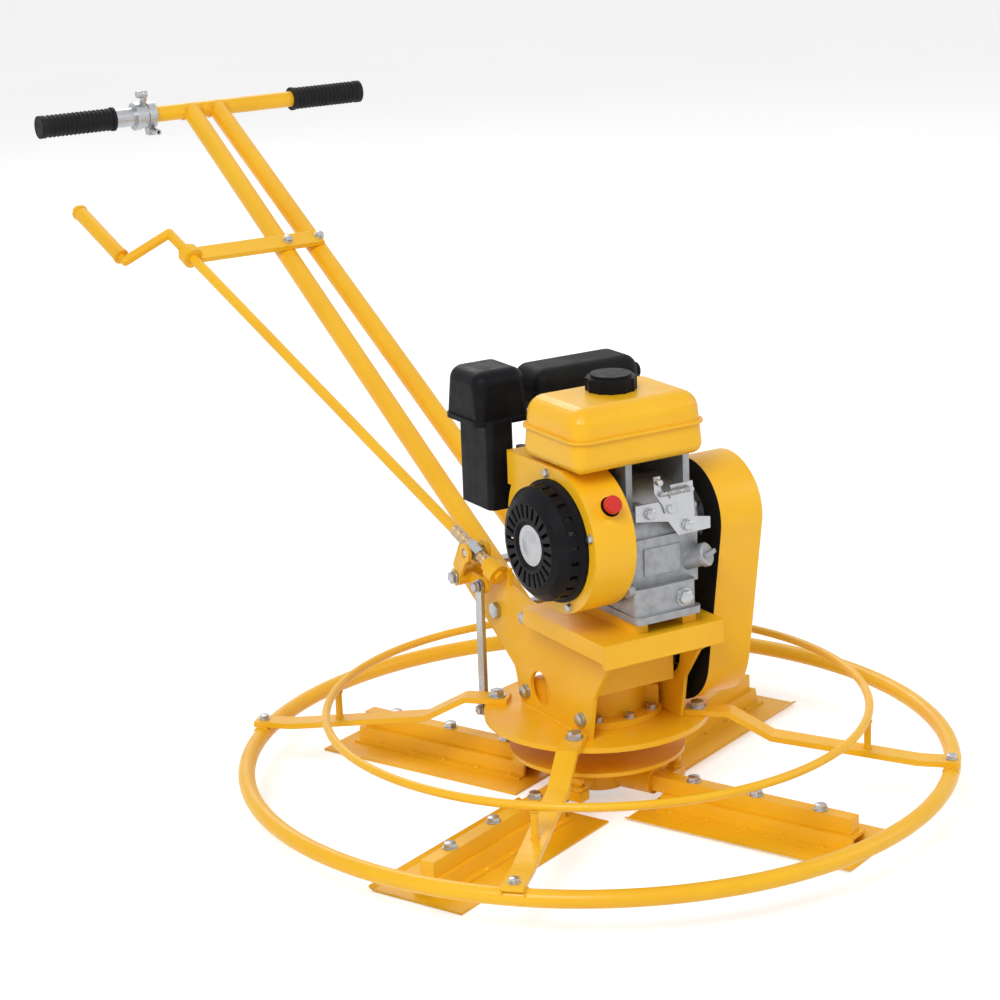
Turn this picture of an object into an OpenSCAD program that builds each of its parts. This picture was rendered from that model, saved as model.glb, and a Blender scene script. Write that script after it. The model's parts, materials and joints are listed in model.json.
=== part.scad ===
// Walk-behind power trowel with a four-blade rotor and a cranked blade pitch, in millimetres.
// Origin on the rotor axis at floor level. +Y points forward, +X to the operator's right, +Z up.

/* [Guard] */
// Radius of the guard ring's centre line
ring_radius = 500; // [480:5:600]
// Tube diameter of the guard ring
ring_tube = 24; // [20:1:30]
// Height of the guard ring's centre line
ring_height = 60; // [50:1:72]
// Radius of the thin upper ring
upper_radius = 384; // [330:2:430]
// Rod diameter of the upper ring
upper_rod = 12; // [8:1:16]
// Height of the upper ring's centre line
upper_height = 135; // [122:1:160]
// Width of the strut bars
strut_width = 30; // [22:1:36]
// Thickness of the strut bars
strut_thick = 8; // [5:0.5:10]

/* [Rotor] */
// Turn of the first arm from +X
rotor_angle = 24; // [0:1:45]
// Height of the trowel arms' axis
arm_height = 36; // [34:1:46]
// Diameter of an arm in the spider
arm_pin = 24; // [18:1:28]
// Width of an arm's square bar
arm_bar = 22; // [16:1:28]
// Outer end of the arm bar from the rotor axis
arm_end = 412; // [330:2:430]
// Length of a blade
blade_length = 350; // [280:5:370]
// Width of a blade
blade_width = 152; // [120:2:190]
// Thickness of a blade
blade_thick = 3; // [2:0.5:5]
// Inner edge of a blade from the rotor axis
blade_start = 92; // [75:1:105]
// Diameter of the output shaft
shaft_size = 35; // [28:1:40]
// Radius of the pressure plate
plate_radius = 125; // [122:1:150]

/* [Gearing] */
// Teeth of the worm wheel
wheel_teeth = 26; // [22:1:30]
// Module of the worm gear
gear_module = 4; // [3.3:0.1:4.8]
// Pitch radius of the worm
worm_radius = 18; // [16:0.5:21]
// Face width of the worm wheel
wheel_face = 24; // [18:1:28]
// Diameter of the worm shaft
worm_shaft_size = 25; // [20:1:25]
// Pitch radius of the drive pulley
drive_radius = 40; // [36:1:50]
// Pitch radius of the driven pulley
driven_radius = 64; // [54:1:66]

/* [Pitch gear] */
// Lead of the screw on the crank rod
screw_lead = 2; // [1.5:0.1:2.5]
// Diameter of the crank rod
rod_size = 16; // [12:0.5:18]
// Throw of the crank handle
crank_throw = 84; // [66:1:102]
// Length of the crank grip
crank_grip_length = 135; // [110:1:165]
// Length of the bell crank's upper arm
bell_arm = 50; // [46:1:60]
// Length of the bell crank's lower arm
bell_reach = 44; // [38:1:48]
// Length of the yoke's fork from its pivot
yoke_fork = 62; // [58:1:74]

/* [Handle] */
// Height of the handlebar's centre line
bar_height = 851; // [720:5:1000]
// Distance of the handlebar behind the rotor axis
bar_back = 1204; // [1000:2:1446]
// Length of the handlebar
bar_length = 593; // [500:5:710]
// Diameter of the handlebar
bar_size = 27; // [24:1:32]
// Diameter of the two handle tubes
tube_size = 31; // [26:1:36]
// Wall of the handle tubes
tube_wall = 3; // [2:0.5:4]
// Distance between the handle tubes' centre lines at the handlebar
tube_gap_top = 48; // [42:1:58]
// Distance between the handle tubes' centre lines at the foot
tube_gap_foot = 76; // [66:1:90]
// Length of a grip
grip_length = 130; // [110:1:155]
// Diameter of a grip
grip_size = 35; // [32:1:42]

/* [Frame] */
// Front edge of the engine deck
deck_front = 196; // [190:1:230]
// Rear edge of the engine deck
deck_rear = -12; // [-30:1:0]
// Height of the folded front edge of the deck
deck_lip = 34; // [26:1:40]
// Wall of the gearbox case round its wheel
case_wall = 10; // [8:0.5:12]
// Thickness of the frame plates
frame_plate = 6; // [4:0.5:8]

/* [Engine] */
// Distance of the crankshaft in front of the rotor axis
crank_ahead = 103; // [95:1:112]
// Height of the crankshaft over the engine feet
crank_rise = 112; // [108:1:130]
// Radius of the blower housing
blower_radius = 100; // [92:1:108]
// Radius of the recoil starter cover
recoil_radius = 84; // [76:1:90]
// Depth of the recoil starter cover
recoil_depth = 42; // [34:1:50]
// Length of the fuel tank across the machine
tank_length = 212; // [180:1:240]
// Depth of the fuel tank from back to front
tank_depth = 150; // [130:1:165]
// Height of the fuel tank
tank_height = 87; // [70:1:100]
// Radius of the fuel cap
cap_radius = 35; // [28:1:40]

/* [Clearances] */
// Radial clearance of a turning or sliding pin in its hole
run_gap = 0.05; // [0.03:0.01:0.08]
// Gap between flat faces that move past each other
face_gap = 0.3; // [0.25:0.05:0.5]
// Gap round the pins of the pitch linkage
link_gap = 1.2; // [1:0.1:1.5]

/* [Hidden] */
$fn = 64;
yellow = [0.96, 0.70, 0.12];
black = [0.07, 0.07, 0.08];
steel = [0.60, 0.61, 0.63];
cast = [0.66, 0.67, 0.69];
red = [0.75, 0.08, 0.06];

tip_ball = 9;
tip_lift = 24.5;
tip_side = 36;
tip_reach = 106;
plate_z = arm_height + tip_lift + tip_ball + 0.5;
plate_top = plate_z + 6;
plate_hub = plate_top + 6;
bearing_top = plate_hub + 8;
collar_z = bearing_top + face_gap;
collar_top = collar_z + 9.7;
yoke_z = collar_top + 6;
base_z = yoke_z + 14;
base_top = base_z + 8;
worm_z = base_top + 94;
case_top = worm_z + 36;
cover_top = case_top + 10;
deck_z = case_top + 30;
deck_top = deck_z + 8;
rail_top = deck_top + 16;
crank_z = rail_top + crank_rise;
tank_z = crank_z + 103;
carb_y = -40;
carb_z = crank_z + 56;
shaft_r = shaft_size / 2;
worm_shaft_r = worm_shaft_size / 2;
axial_pitch = PI * gear_module;
wheel_radius = gear_module * wheel_teeth / 2;
worm_y = wheel_radius + worm_radius;
case_radius = wheel_radius + 10 + case_wall;
plate_half = case_radius;
strut_start = (plate_half + frame_plate + 2) * sqrt(2) + strut_width / 2;
strut_bolt = strut_start + 17;
base_radius = strut_start + 32;
belt_x = -plate_half - frame_plate - 52;
lever_x = plate_half + frame_plate + 22;
worm_half = case_radius - 10;
clutch_r = 20 / 2;

handle_slope = (bar_height - 238.6) / (bar_back - 110);
handle_dir = [0, -1, handle_slope] / norm([0, -1, handle_slope]);
function handle_z(y) = bar_height - (y + bar_back) * handle_slope;
foot_y = [-135, -215];

nut_mid = [lever_x, -161, 342.5 + deck_top - 296];
bracket_y = -0.7143 * bar_back;
bracket_lift = tube_size / 2 + 4;
rod_top = [lever_x + 100, bracket_y + handle_dir.z * bracket_lift,
    handle_z(bracket_y) - handle_dir.y * bracket_lift];
rod_dir = (rod_top - nut_mid) / norm(rod_top - nut_mid);
rod_flat = [rod_dir.y, rod_dir.z] / norm([rod_dir.y, rod_dir.z]);
bell_pivot = [nut_mid.y - bell_arm * rod_flat[1], nut_mid.z + bell_arm * rod_flat[0]];
nut_travel = 6 * screw_lead;
bell_swing = nut_travel / bell_arm * 180 / PI;
nut_low = nut_mid - rod_dir * nut_travel / 2;
nut_r = rod_size / 2 + 4;
fork_half = 0.866 * nut_r + (12 + nut_travel / 2) * rod_dir.x + 0.6;
link_y = bell_pivot[0] + bell_reach;
link_top = bell_pivot[1] - bell_reach * sin(bell_swing / 2);
link_x = lever_x + 1 + face_gap;
foot_bearing = nut_mid - rod_dir * 55;
crank_turn = 62;
crank_rise_up = 66;

// Cylinder along X between two X values, about a line at y, z
module x_rod(x0, x1, r, y, z) {
    translate([x0, y, z]) rotate([0, 90, 0]) cylinder(r = r, h = x1 - x0);
}

// Draws a flat outline given in y and z, from x0 to x1
module yz_plate(x0, x1) {
    rotate([90, 0, 90]) translate([0, 0, x0]) linear_extrude(x1 - x0) children();
}

// Puts the children's z axis on the line from a along the unit direction d
module on_line(a, d) {
    translate(a) rotate([0, acos(d.z), atan2(d.y, d.x)]) children();
}

// Box given by its two corners
module span(a, b) {
    translate(a) cube(b - a);
}

// Box with its upright edges rounded, from two corners
module soft_span(a, b, r) {
    span([a.x + r, a.y, a.z], [b.x - r, b.y, b.z]);
    span([a.x, a.y + r, a.z], [b.x, b.y - r, b.z]);
    for (x = [a.x + r, b.x - r], y = [a.y + r, b.y - r])
        translate([x, y, a.z]) cylinder(r = r, h = b.z - a.z);
}

module guard_ring() {
    color(yellow) rotate_extrude($fn = 128) translate([ring_radius, ring_height]) circle(d = ring_tube);
}

module upper_ring() {
    color(yellow) rotate_extrude($fn = 128) translate([upper_radius, upper_height]) circle(d = upper_rod);
}

// Bent flat bar from the base plate to the top of the guard ring, with a post for the upper ring
module guard_struts() {
    ring_top = ring_height + ring_tube / 2;
    drop = base_top - 32;
    knee = ring_radius - 46;
    slope = (drop - ring_top) / (knee - 250);
    post_foot = drop + strut_thick - slope * (upper_radius - 250) - 3;
    color(yellow) for (a = [45, 135, 225, 315]) rotate(a) {
        difference() {
            rotate([90, 0, 0]) linear_extrude(strut_width, center = true) polygon([
                [strut_start, base_top], [190, base_top], [250, drop], [knee, ring_top],
                [ring_radius + 12, ring_top], [ring_radius + 12, ring_top + strut_thick],
                [knee + 3, ring_top + strut_thick], [252, drop + strut_thick],
                [193, base_top + strut_thick], [strut_start, base_top + strut_thick]]);
            translate([strut_bolt, 0, base_top - 1]) cylinder(d = 12.5, h = strut_thick + 2);
        }
        translate([upper_radius, 0, post_foot])
            cylinder(d = 10, h = upper_height - upper_rod / 2 - post_foot);
    }
}

// Round plate under the gearbox, with two ears below it for the yoke
module base_plate() {
    color(yellow) difference() {
        union() {
            translate([0, 0, base_z]) cylinder(r = base_radius, h = base_top - base_z, $fn = 96);
            for (x = [-68, 60]) {
                span([x, -yoke_fork - 11, yoke_z], [x + 8, -yoke_fork + 11, base_z + 1]);
                x_rod(x, x + 8, 11, -yoke_fork, yoke_z);
            }
        }
        translate([0, 0, base_z - 1]) cylinder(r = 45, h = 12);
        x_rod(-80, 80, 6 + run_gap, -yoke_fork, yoke_z);
        for (a = [45, 135, 225, 315])
            rotate(a) translate([strut_bolt, 0, base_z - 1]) cylinder(d = 12.5, h = 12);
        span([lever_x - 10, link_y - 15, base_z - 1], [link_x + 60, link_y + 15, base_top + 1]);
    }
}

// Cast case of the worm gear: round for the wheel, square for the worm
module gearbox_case() {
    color(yellow) difference() {
        union() {
            intersection() {
                translate([0, 0, base_top]) cylinder(r = case_radius + 22, h = 10);
                span([-plate_half, -200, base_top - 1], [plate_half, 200, base_top + 11]);
            }
            translate([0, 0, base_z - 4]) cylinder(r = 44, h = 20);
            translate([0, 0, base_top]) cylinder(r = case_radius, h = case_top - base_top);
            span([-worm_half, 0, worm_z - 34], [worm_half, worm_y + 34, case_top]);
            for (x = [-worm_half, worm_half - 8]) x_rod(x, x + 8, 34, worm_y, worm_z);
            for (a = [45, 135, 225, 315]) rotate(a) span([60, -4, base_top], [90, 4, base_top + 40]);
        }
        translate([0, 0, base_top + 20]) cylinder(r = wheel_radius + 10, h = case_top);
        x_rod(18 - worm_half, worm_half - 18, worm_radius + 8, worm_y, worm_z);
        span([18 - worm_half, worm_y - 20, worm_z], [worm_half - 18, worm_y + 20, case_top + 1]);
        x_rod(-worm_half - 1, worm_half + 1, 26, worm_y, worm_z);
        translate([0, 0, base_z - 5]) cylinder(r = 26, h = 40);
        translate([0, 0, base_top]) cylinder(r = 31, h = 30);
    }
}

module gearbox_cover() {
    color(yellow) difference() {
        union() {
            translate([0, 0, case_top]) cylinder(r = case_radius, h = 10);
            span([-worm_half, 0, case_top], [worm_half, worm_y + 34, cover_top]);
            translate([0, 0, case_top]) cylinder(r = 42, h = 22);
            translate([0, worm_y, case_top]) cylinder(r = 13, h = 15, $fn = 6);
        }
        translate([0, 0, case_top - 1]) cylinder(r = 31, h = 18);
    }
}

// One-start right-hand worm on its shaft, with the driven pulley's seat on the left
module worm_shaft() {
    turns = 4.4;
    length = turns * axial_pitch;
    tip = worm_radius + gear_module;
    root = worm_radius - 1.2 * gear_module;
    function flank(r) = 360 * (0.2 * axial_pitch - (r - worm_radius) * tan(20)) / axial_pitch;
    rise = [for (i = [0:4]) tip + (root - tip) * i / 4];
    outline = concat(
        [for (a = [-1:0.5:1]) tip * [cos(a * flank(tip)), sin(a * flank(tip))]],
        [for (i = [1:4]) rise[i] * [cos(flank(rise[i])), sin(flank(rise[i]))]],
        [for (i = [1:7]) let(a = flank(root) + i / 8 * (360 - 2 * flank(root))) root * [cos(a), sin(a)]],
        [for (i = [4:-1:1]) rise[i] * [cos(-flank(rise[i])), sin(-flank(rise[i]))]]);
    color(steel) {
        translate([0, worm_y, worm_z]) rotate([0, 90, 0])
            translate([0, 0, -length / 2]) rotate(270 - 180 * turns)
            linear_extrude(length, twist = -360 * turns, slices = 66, $fn = 20) polygon(outline);
        x_rod(belt_x - 22, 1 - length / 2, worm_shaft_r, worm_y, worm_z);
        x_rod(length / 2 - 1, worm_half - 2, worm_shaft_r, worm_y, worm_z);
        for (x = [16 - worm_half + face_gap, worm_half - 20 - face_gap])
            x_rod(x, x + 4, worm_shaft_r + 4, worm_y, worm_z);
    }
}

// Ball bearing about z from z = 0: outer and inner race joined by a thin web
module bearing(bore, outer, width) {
    rotate_extrude() difference() {
        translate([bore, 0]) square([outer - bore, width]);
        for (y = [-1, width - 1.5])
            translate([bore + (outer - bore) * 0.3, y]) square([(outer - bore) * 0.4, 2.5]);
    }
}

module worm_bearings() {
    color(steel) for (x = [2 - worm_half, worm_half - 16]) translate([x, worm_y, worm_z]) rotate([0, 90, 0])
        bearing(worm_shaft_r + run_gap, 26, 14);
}

module worm_wheel() {
    lean = wheel_face / worm_radius * gear_module / 2 / wheel_radius * 180 / PI;
    tip = wheel_radius + 0.82 * gear_module;
    root = wheel_radius - 1.25 * gear_module;
    half = 0.2 * axial_pitch;
    color([0.72, 0.56, 0.26]) translate([0, 0, worm_z]) difference() {
        union() {
            rotate(90 + 180 / wheel_teeth - lean / 2)
                linear_extrude(wheel_face, center = true, twist = -lean, slices = 4) union() {
                    circle(r = root, $fn = 4 * wheel_teeth);
                    for (k = [1:wheel_teeth]) rotate(k * 360 / wheel_teeth) polygon([
                        [root - 2, -half - 1.6], [wheel_radius, -half], [tip, -half + 1.1],
                        [tip, half - 1.1], [wheel_radius, half], [root - 2, half + 1.6]]);
                }
            translate([0, 0, -22]) cylinder(r = shaft_r + 12, h = 44);
        }
        translate([0, 0, -30]) cylinder(r = shaft_r, h = 60);
    }
}

module output_shaft() {
    color(steel) {
        translate([0, 0, arm_height - 18]) cylinder(r = shaft_r - 3, h = 60);
        translate([0, 0, arm_height + 24]) cylinder(r = shaft_r, h = case_top + 16 - arm_height - 24);
    }
}

module output_bearings() {
    color(steel) for (z = [base_top, case_top + 2])
        translate([0, 0, z]) bearing(shaft_r + run_gap, 31, 14);
}

module shaft_seals() {
    color(black) {
        translate([0, 0, base_z - 4]) bearing(shaft_r + run_gap, 26, 10);
        difference() {
            x_rod(-worm_half - 6, -worm_half, 33, worm_y, worm_z);
            x_rod(-worm_half - 7, 1 - worm_half, worm_shaft_r + run_gap, worm_y, worm_z);
        }
        x_rod(worm_half, worm_half + 4, 33, worm_y, worm_z);
    }
}

// Cast hub with four bored sockets for the trowel arms
module spider() {
    color(yellow) difference() {
        union() {
            translate([0, 0, arm_height - 18]) cylinder(r = 44, h = 42);
            for (k = [0:3]) rotate(rotor_angle + 90 * k)
                translate([30, 0, arm_height]) rotate([0, 90, 0]) cylinder(r = arm_pin / 2 + 8, h = 66);
        }
        translate([0, 0, arm_height - 30]) cylinder(r = shaft_r - 3, h = 80);
        for (k = [0:3]) rotate(rotor_angle + 90 * k)
            translate([32, 0, arm_height]) rotate([0, 90, 0]) cylinder(r = arm_pin / 2 + run_gap, h = 80);
    }
}

module spider_bolt() {
    color(steel) {
        translate([0, 0, arm_height - 24]) cylinder(r = 21, h = 6);
        translate([0, 0, arm_height - 31]) cylinder(r = 12, h = 7, $fn = 6);
    }
}

// Arm in the spider with the finger that the pressure plate pushes down
module trowel_arm(k) {
    color(yellow) rotate(rotor_angle + 90 * k) translate([0, 0, arm_height]) {
        translate([34, 0, 0]) rotate([0, 90, 0]) cylinder(d = arm_pin, h = 68);
        difference() {
            span([96 + face_gap, -arm_bar / 2, -12], [arm_end, arm_bar / 2, 11]);
            for (x = [160, 260, 360]) translate([x, 0, -20]) cylinder(d = 10.5, h = 40);
        }
        span([96 + face_gap, 0, -4], [tip_reach + 10, tip_side + 12, 10]);
        translate([tip_reach, tip_side, 6]) cylinder(r = 6, h = tip_lift - 6);
        translate([tip_reach, tip_side, 10]) cylinder(r = 11, h = 6, $fn = 6);
        translate([tip_reach, tip_side, tip_lift]) sphere(r = tip_ball);
    }
}

// Flat blade with a folded leading edge and a riveted channel under the arm
module blade(k) {
    half = blade_width / 2;
    seat = arm_height - 12;
    color(yellow) rotate(rotor_angle + 90 * k) difference() {
        union() {
            translate([blade_start, 0, 0]) rotate([90, 0, 90]) linear_extrude(blade_length) polygon([
                [-half + 10, 0], [half, 0], [half, blade_thick], [-half + 9, blade_thick],
                [-half, blade_thick + 4], [-half + 1, 4]]);
            translate([blade_start + 24, 0, 0]) rotate([90, 0, 90]) linear_extrude(blade_length - 48) polygon([
                [-32, blade_thick - 1], [32, blade_thick - 1], [32, blade_thick + 3], [21, blade_thick + 3],
                [18, seat], [-18, seat], [-21, blade_thick + 3], [-32, blade_thick + 3]]);
        }
        translate([blade_start + 20, 0, 0]) rotate([90, 0, 90]) linear_extrude(blade_length - 40) polygon([
            [-17, blade_thick], [17, blade_thick], [14, seat - 4], [-14, seat - 4]]);
        for (x = [160, 260, 360]) translate([x, 0, seat - 6]) cylinder(d = 10.5, h = 10);
    }
}

module pressure_plate() {
    color(yellow) difference() {
        union() {
            translate([0, 0, plate_z]) cylinder(r = plate_radius, h = 6, $fn = 96);
            translate([0, 0, plate_top - 1]) cylinder(r = 36, h = 7);
        }
        translate([0, 0, plate_z - 1]) cylinder(r = shaft_r + run_gap, h = 20);
    }
}

module thrust_bearing() {
    color(steel) translate([0, 0, plate_hub]) bearing(shaft_r + 1, 36, bearing_top - plate_hub);
}

// Ring that the yoke pushes down and that does not turn
module thrust_collar() {
    color(yellow) difference() {
        translate([0, 0, collar_z]) cylinder(r = 40, h = collar_top - collar_z);
        translate([0, 0, collar_z - 1]) cylinder(r = shaft_r + 1, h = 20);
    }
}

// Fork over the thrust collar, cross shaft in the base plate's ears, and the tail lever
module yoke() {
    color(yellow) difference() {
        union() {
            for (x = [-36, 26]) {
                span([x, -yoke_fork, yoke_z - 4], [x + 10, 6, yoke_z + 6]);
                x_rod(x, x + 10, 6 - face_gap, 0, yoke_z);
            }
            x_rod(-58, 58, 11, -yoke_fork, yoke_z);
            x_rod(-72, lever_x - 6, 6, -yoke_fork, yoke_z);
            x_rod(lever_x - 26, lever_x, 11, -yoke_fork, yoke_z);
            span([lever_x - 6, link_y, yoke_z - 10], [lever_x, -yoke_fork, yoke_z + 2]);
            x_rod(lever_x - 6, lever_x, 12, link_y, yoke_z);
        }
        pin_slot(lever_x - 7, lever_x + 1, 5 + link_gap / 2, link_y, yoke_z, 1);
    }
}

// Flat link with a pin at each end, from the bell crank down to the yoke's tail
module pitch_link() {
    color(steel) {
        span([link_x, link_y - 8, yoke_z], [link_x + 6, link_y + 8, link_top]);
        for (z = [yoke_z, link_top]) {
            x_rod(link_x, link_x + 6, 10, link_y, z);
            x_rod(lever_x - 9, link_x + 8, 5, link_y, z);
        }
    }
}

// Slot along y through x0 to x1 for a pin of radius r, centred at y, z
module pin_slot(x0, x1, r, y, z, play) {
    for (e = [-play, play]) x_rod(x0, x1, r, y + e, z);
    span([x0, y - play, z - r], [x1, y + play, z + r]);
}

// Rocking lever on the right side plate: two cheeks hold the nut, the short arm lifts the link
module bell_crank() {
    pin = 5 + link_gap / 2;
    lean = atan2(rod_flat[1], rod_flat[0]) - 180;
    color(yellow) translate([0, bell_pivot[0], bell_pivot[1]]) rotate([-bell_swing / 2, 0, 0]) difference() {
        union() {
            x_rod(lever_x - 20.5, lever_x + 18.5, 13, 0, 0);
            for (x = [nut_mid.x - fork_half - 5, nut_mid.x + fork_half]) rotate([lean, 0, 0]) {
                span([x, -10, 0], [x + 5, 10, bell_arm]);
                x_rod(x, x + 5, 14, 0, bell_arm);
            }
            span([lever_x - 6, 0, -8], [lever_x, bell_reach, 8]);
            x_rod(lever_x - 6, lever_x, 12, bell_reach, 0);
        }
        x_rod(lever_x - 30, lever_x + 30, 6 + run_gap, 0, 0);
        rotate([lean, 0, 0]) translate([0, 0, bell_arm]) rotate([90, 0, 0])
            pin_slot(lever_x - 21, lever_x + 19, pin, 0, 0, 1.5);
        pin_slot(lever_x - 7, lever_x + 1, pin, bell_reach, 0, 1);
    }
}

// Screw nut with a trunnion pin on each side
module pitch_nut() {
    color(steel) difference() {
        union() {
            on_line(nut_low, rod_dir) translate([0, 0, -12]) cylinder(r = nut_r, h = 24, $fn = 6);
            x_rod(nut_mid.x - fork_half - 4, nut_mid.x + fork_half + 4, 5, nut_low.y, nut_low.z);
        }
        on_line(nut_low, rod_dir) translate([0, 0, -30]) cylinder(r = rod_size / 2 + 0.1, h = 60);
    }
}

// Crank rod: screw end below, two bearings, and the crank with the pin for its grip
module pitch_rod() {
    length = norm(rod_top - foot_bearing);
    color(yellow) on_line(foot_bearing, rod_dir) {
        translate([0, 0, -14]) cylinder(d = rod_size, h = length + 14 + crank_rise_up);
        for (z = [10 + face_gap, length + 9 + face_gap])
            translate([0, 0, z]) cylinder(d = rod_size + 8, h = 8);
        rotate(crank_turn) translate([0, 0, length + crank_rise_up]) {
            sphere(d = rod_size);
            rotate([0, 90, 0]) cylinder(d = rod_size, h = crank_throw);
            translate([crank_throw, 0, 0]) {
                sphere(d = rod_size);
                cylinder(d = rod_size - 4, h = crank_grip_length + 18);
                translate([0, 0, crank_grip_length + 14]) cylinder(d = rod_size, h = 5);
            }
        }
    }
}

module crank_grip() {
    length = norm(rod_top - foot_bearing);
    color(yellow) on_line(foot_bearing, rod_dir) rotate(crank_turn)
        translate([crank_throw, 0, length + crank_rise_up + 12]) difference() {
            union() {
                cylinder(d = rod_size + 8, h = crank_grip_length);
                for (z = [0, crank_grip_length - 5]) translate([0, 0, z]) cylinder(d = rod_size + 10, h = 5);
            }
            translate([0, 0, -1]) cylinder(r = rod_size / 2 - 2 + run_gap, h = crank_grip_length + 2);
        }
}

// Flat bar across both handle tubes that carries the crank rod's upper bearing
module rod_bracket() {
    color(yellow) difference() {
        union() {
            translate([0, rod_top.y, rod_top.z]) rotate([acos(handle_dir.z) - 90, 0, 0])
                span([-32, -15, -4], [rod_top.x - rod_size / 2 - 6, 15, 4]);
            on_line(rod_top, rod_dir) translate([0, 0, -9]) cylinder(r = rod_size / 2 + 9, h = 18);
        }
        on_line(rod_top, rod_dir) translate([0, 0, -40]) cylinder(r = rod_size / 2 + run_gap, h = 80);
    }
}

// Flat deck with a folded front edge and two rails for the engine
module engine_deck() {
    left = -plate_half - frame_plate - 6;
    right = plate_half + frame_plate + 32;
    color(yellow) difference() {
        union() {
            span([left, deck_rear, deck_z], [right, deck_front, deck_top]);
            span([left, deck_front - 6, deck_top - deck_lip], [right, deck_front, deck_top]);
            span([right - 6, deck_rear, deck_top - deck_lip + 8], [right, deck_front, deck_top]);
            for (x = [-50, 28]) span([x, 6, deck_top - 1], [x + 22, crank_ahead + 75, rail_top]);
        }
        for (x = [-39, 39], e = [-64, 64])
            translate([x, crank_ahead + e, deck_z - 1]) cylinder(d = 10.5, h = 40);
        translate([0, 60, deck_z - 1]) cylinder(r = 26, h = 12);
    }
}

// Outline of a side plate in y and z: handle foot behind, deck above, base plate below
module side_outline(shaft_hole) {
    foot = handle_z(-246);
    rise = deck_z - 288;
    difference() {
        polygon([[-261, foot - 26], [-231, foot + 27], [-150, 318 + rise], [-104, 300 + rise], [-50, deck_z],
            [deck_front - 7, deck_z], [deck_front - 7, deck_z - 24], [150, deck_z - 48],
            [worm_y + 46, worm_z - 30], [104, base_top], [-75, base_top], [-92, base_top + 52],
            [-140, 212 + rise]]);
        if (shaft_hole) translate([worm_y, worm_z]) circle(r = 36);
        translate([-24, base_top + 36]) circle(r = 26);
    }
}

module side_plate_right() {
    x0 = plate_half;
    x1 = plate_half + frame_plate;
    color(yellow) difference() {
        union() {
            yz_plate(x0, x1) side_outline(false);
            on_line(foot_bearing, rod_dir) translate([0, 0, -9]) cylinder(r = rod_size / 2 + 8, h = 18);
            span([x0, foot_bearing.y - 8, deck_z - 8], [x1, foot_bearing.y + 12, foot_bearing.z + 4]);
            x_rod(x0, lever_x + 21, 6, bell_pivot[0], bell_pivot[1]);
        }
        on_line(foot_bearing, rod_dir) translate([0, 0, -40]) cylinder(r = rod_size / 2 + run_gap, h = 80);
        for (y = foot_y) x_rod(x0 - 1, x1 + 1, 7, y, handle_z(y));
    }
}

module side_plate_left() {
    color(yellow) difference() {
        yz_plate(-plate_half - frame_plate, -plate_half) side_outline(true);
        for (y = foot_y) x_rod(-plate_half - 20, -plate_half + 1, 7, y, handle_z(y));
    }
}

// Two through bolts that hold the handle tubes between the side plates, with spacers
module handle_bolts() {
    outer = plate_half + frame_plate;
    color(steel) for (y = foot_y) {
        x_rod(-outer - 6, outer + 6, 7, y, handle_z(y));
        translate([outer, y, handle_z(y)]) rotate([0, 90, 0]) cylinder(r = 12, h = 8, $fn = 6);
        translate([-outer - 8, y, handle_z(y)]) rotate([0, 90, 0]) cylinder(r = 12, h = 8, $fn = 6);
    }
}

function tube_x(y) = tube_gap_foot / 2 + (tube_gap_top - tube_gap_foot) / 2 * (-110 - y) / (bar_back - 110);

// One handle tube, bored for the through bolts and notched round the handlebar
module handle_tube(side) {
    foot = [side * tube_gap_foot / 2, -110, handle_z(-110)];
    top = [side * tube_gap_top / 2, -bar_back, bar_height];
    d = (top - foot) / norm(top - foot);
    color(yellow) difference() {
        union() {
            on_line(foot, d) cylinder(d = tube_size, h = norm(top - foot));
            for (y = foot_y) x_rod(min(side * tube_x(y), side * plate_half),
                max(side * tube_x(y), side * plate_half),
                11, y, handle_z(y));
        }
        on_line(foot, d) translate([0, 0, -1])
            cylinder(d = tube_size - 2 * tube_wall, h = norm(top - foot) - bar_size / 2 - 6);
        for (y = foot_y) x_rod(-plate_half - 1, plate_half + 1, 7, y, handle_z(y));
        x_rod(-100, 100, bar_size / 2, -bar_back, bar_height);
    }
}

module handlebar() {
    color(yellow) difference() {
        x_rod(-bar_length / 2, bar_length / 2, bar_size / 2, -bar_back, bar_height);
        x_rod(-bar_length / 2 - 1, bar_length / 2 + 1, bar_size / 2 - tube_wall, -bar_back, bar_height);
    }
}

// Clamp on the handlebar with a sleeve to the grip, a hub for the lever and a cable inlet
module throttle_clamp() {
    inner = bar_length / 2 - grip_length - 46;
    outer = bar_length / 2 - grip_length;
    r = bar_size / 2;
    color(steel) difference() {
        union() {
            x_rod(inner - 26, inner - 12 - face_gap, r + 10, -bar_back, bar_height);
            x_rod(inner - 20, outer, r + 2.5, -bar_back, bar_height);
            x_rod(inner + face_gap, inner + 10, r + 10, -bar_back, bar_height);
            span([inner - 26, -bar_back - 8, bar_height - r - 20],
                [inner - 14, -bar_back + 8, bar_height - r - 4]);
            translate([inner - 20, -bar_back + 4, bar_height - r - 12])
                rotate([-90, 0, 0]) cylinder(r = 5, h = 30);
        }
        x_rod(inner - 40, outer + 1, r, -bar_back, bar_height);
        translate([inner - 20, -bar_back, bar_height - r - 12]) rotate([-90, 0, 0]) cylinder(r = 2.5, h = 50);
    }
}

// Lever that swings round the handlebar between the clamp's two flanges
module throttle_lever() {
    inner = bar_length / 2 - grip_length - 46;
    r = bar_size / 2;
    color(steel) translate([0, -bar_back, bar_height]) rotate([-16, 0, 0]) difference() {
        union() {
            x_rod(inner - 12, inner, r + 8, 0, 0);
            span([inner - 10, -7, r], [inner - 4, 7, r + 26]);
            x_rod(inner - 10, inner - 4, 7, 0, r + 26);
            x_rod(inner - 12, inner + 6, 6, 0, r + 26);
        }
        x_rod(inner - 20, inner + 10, r + 2.5 + run_gap, 0, 0);
    }
}

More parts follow.
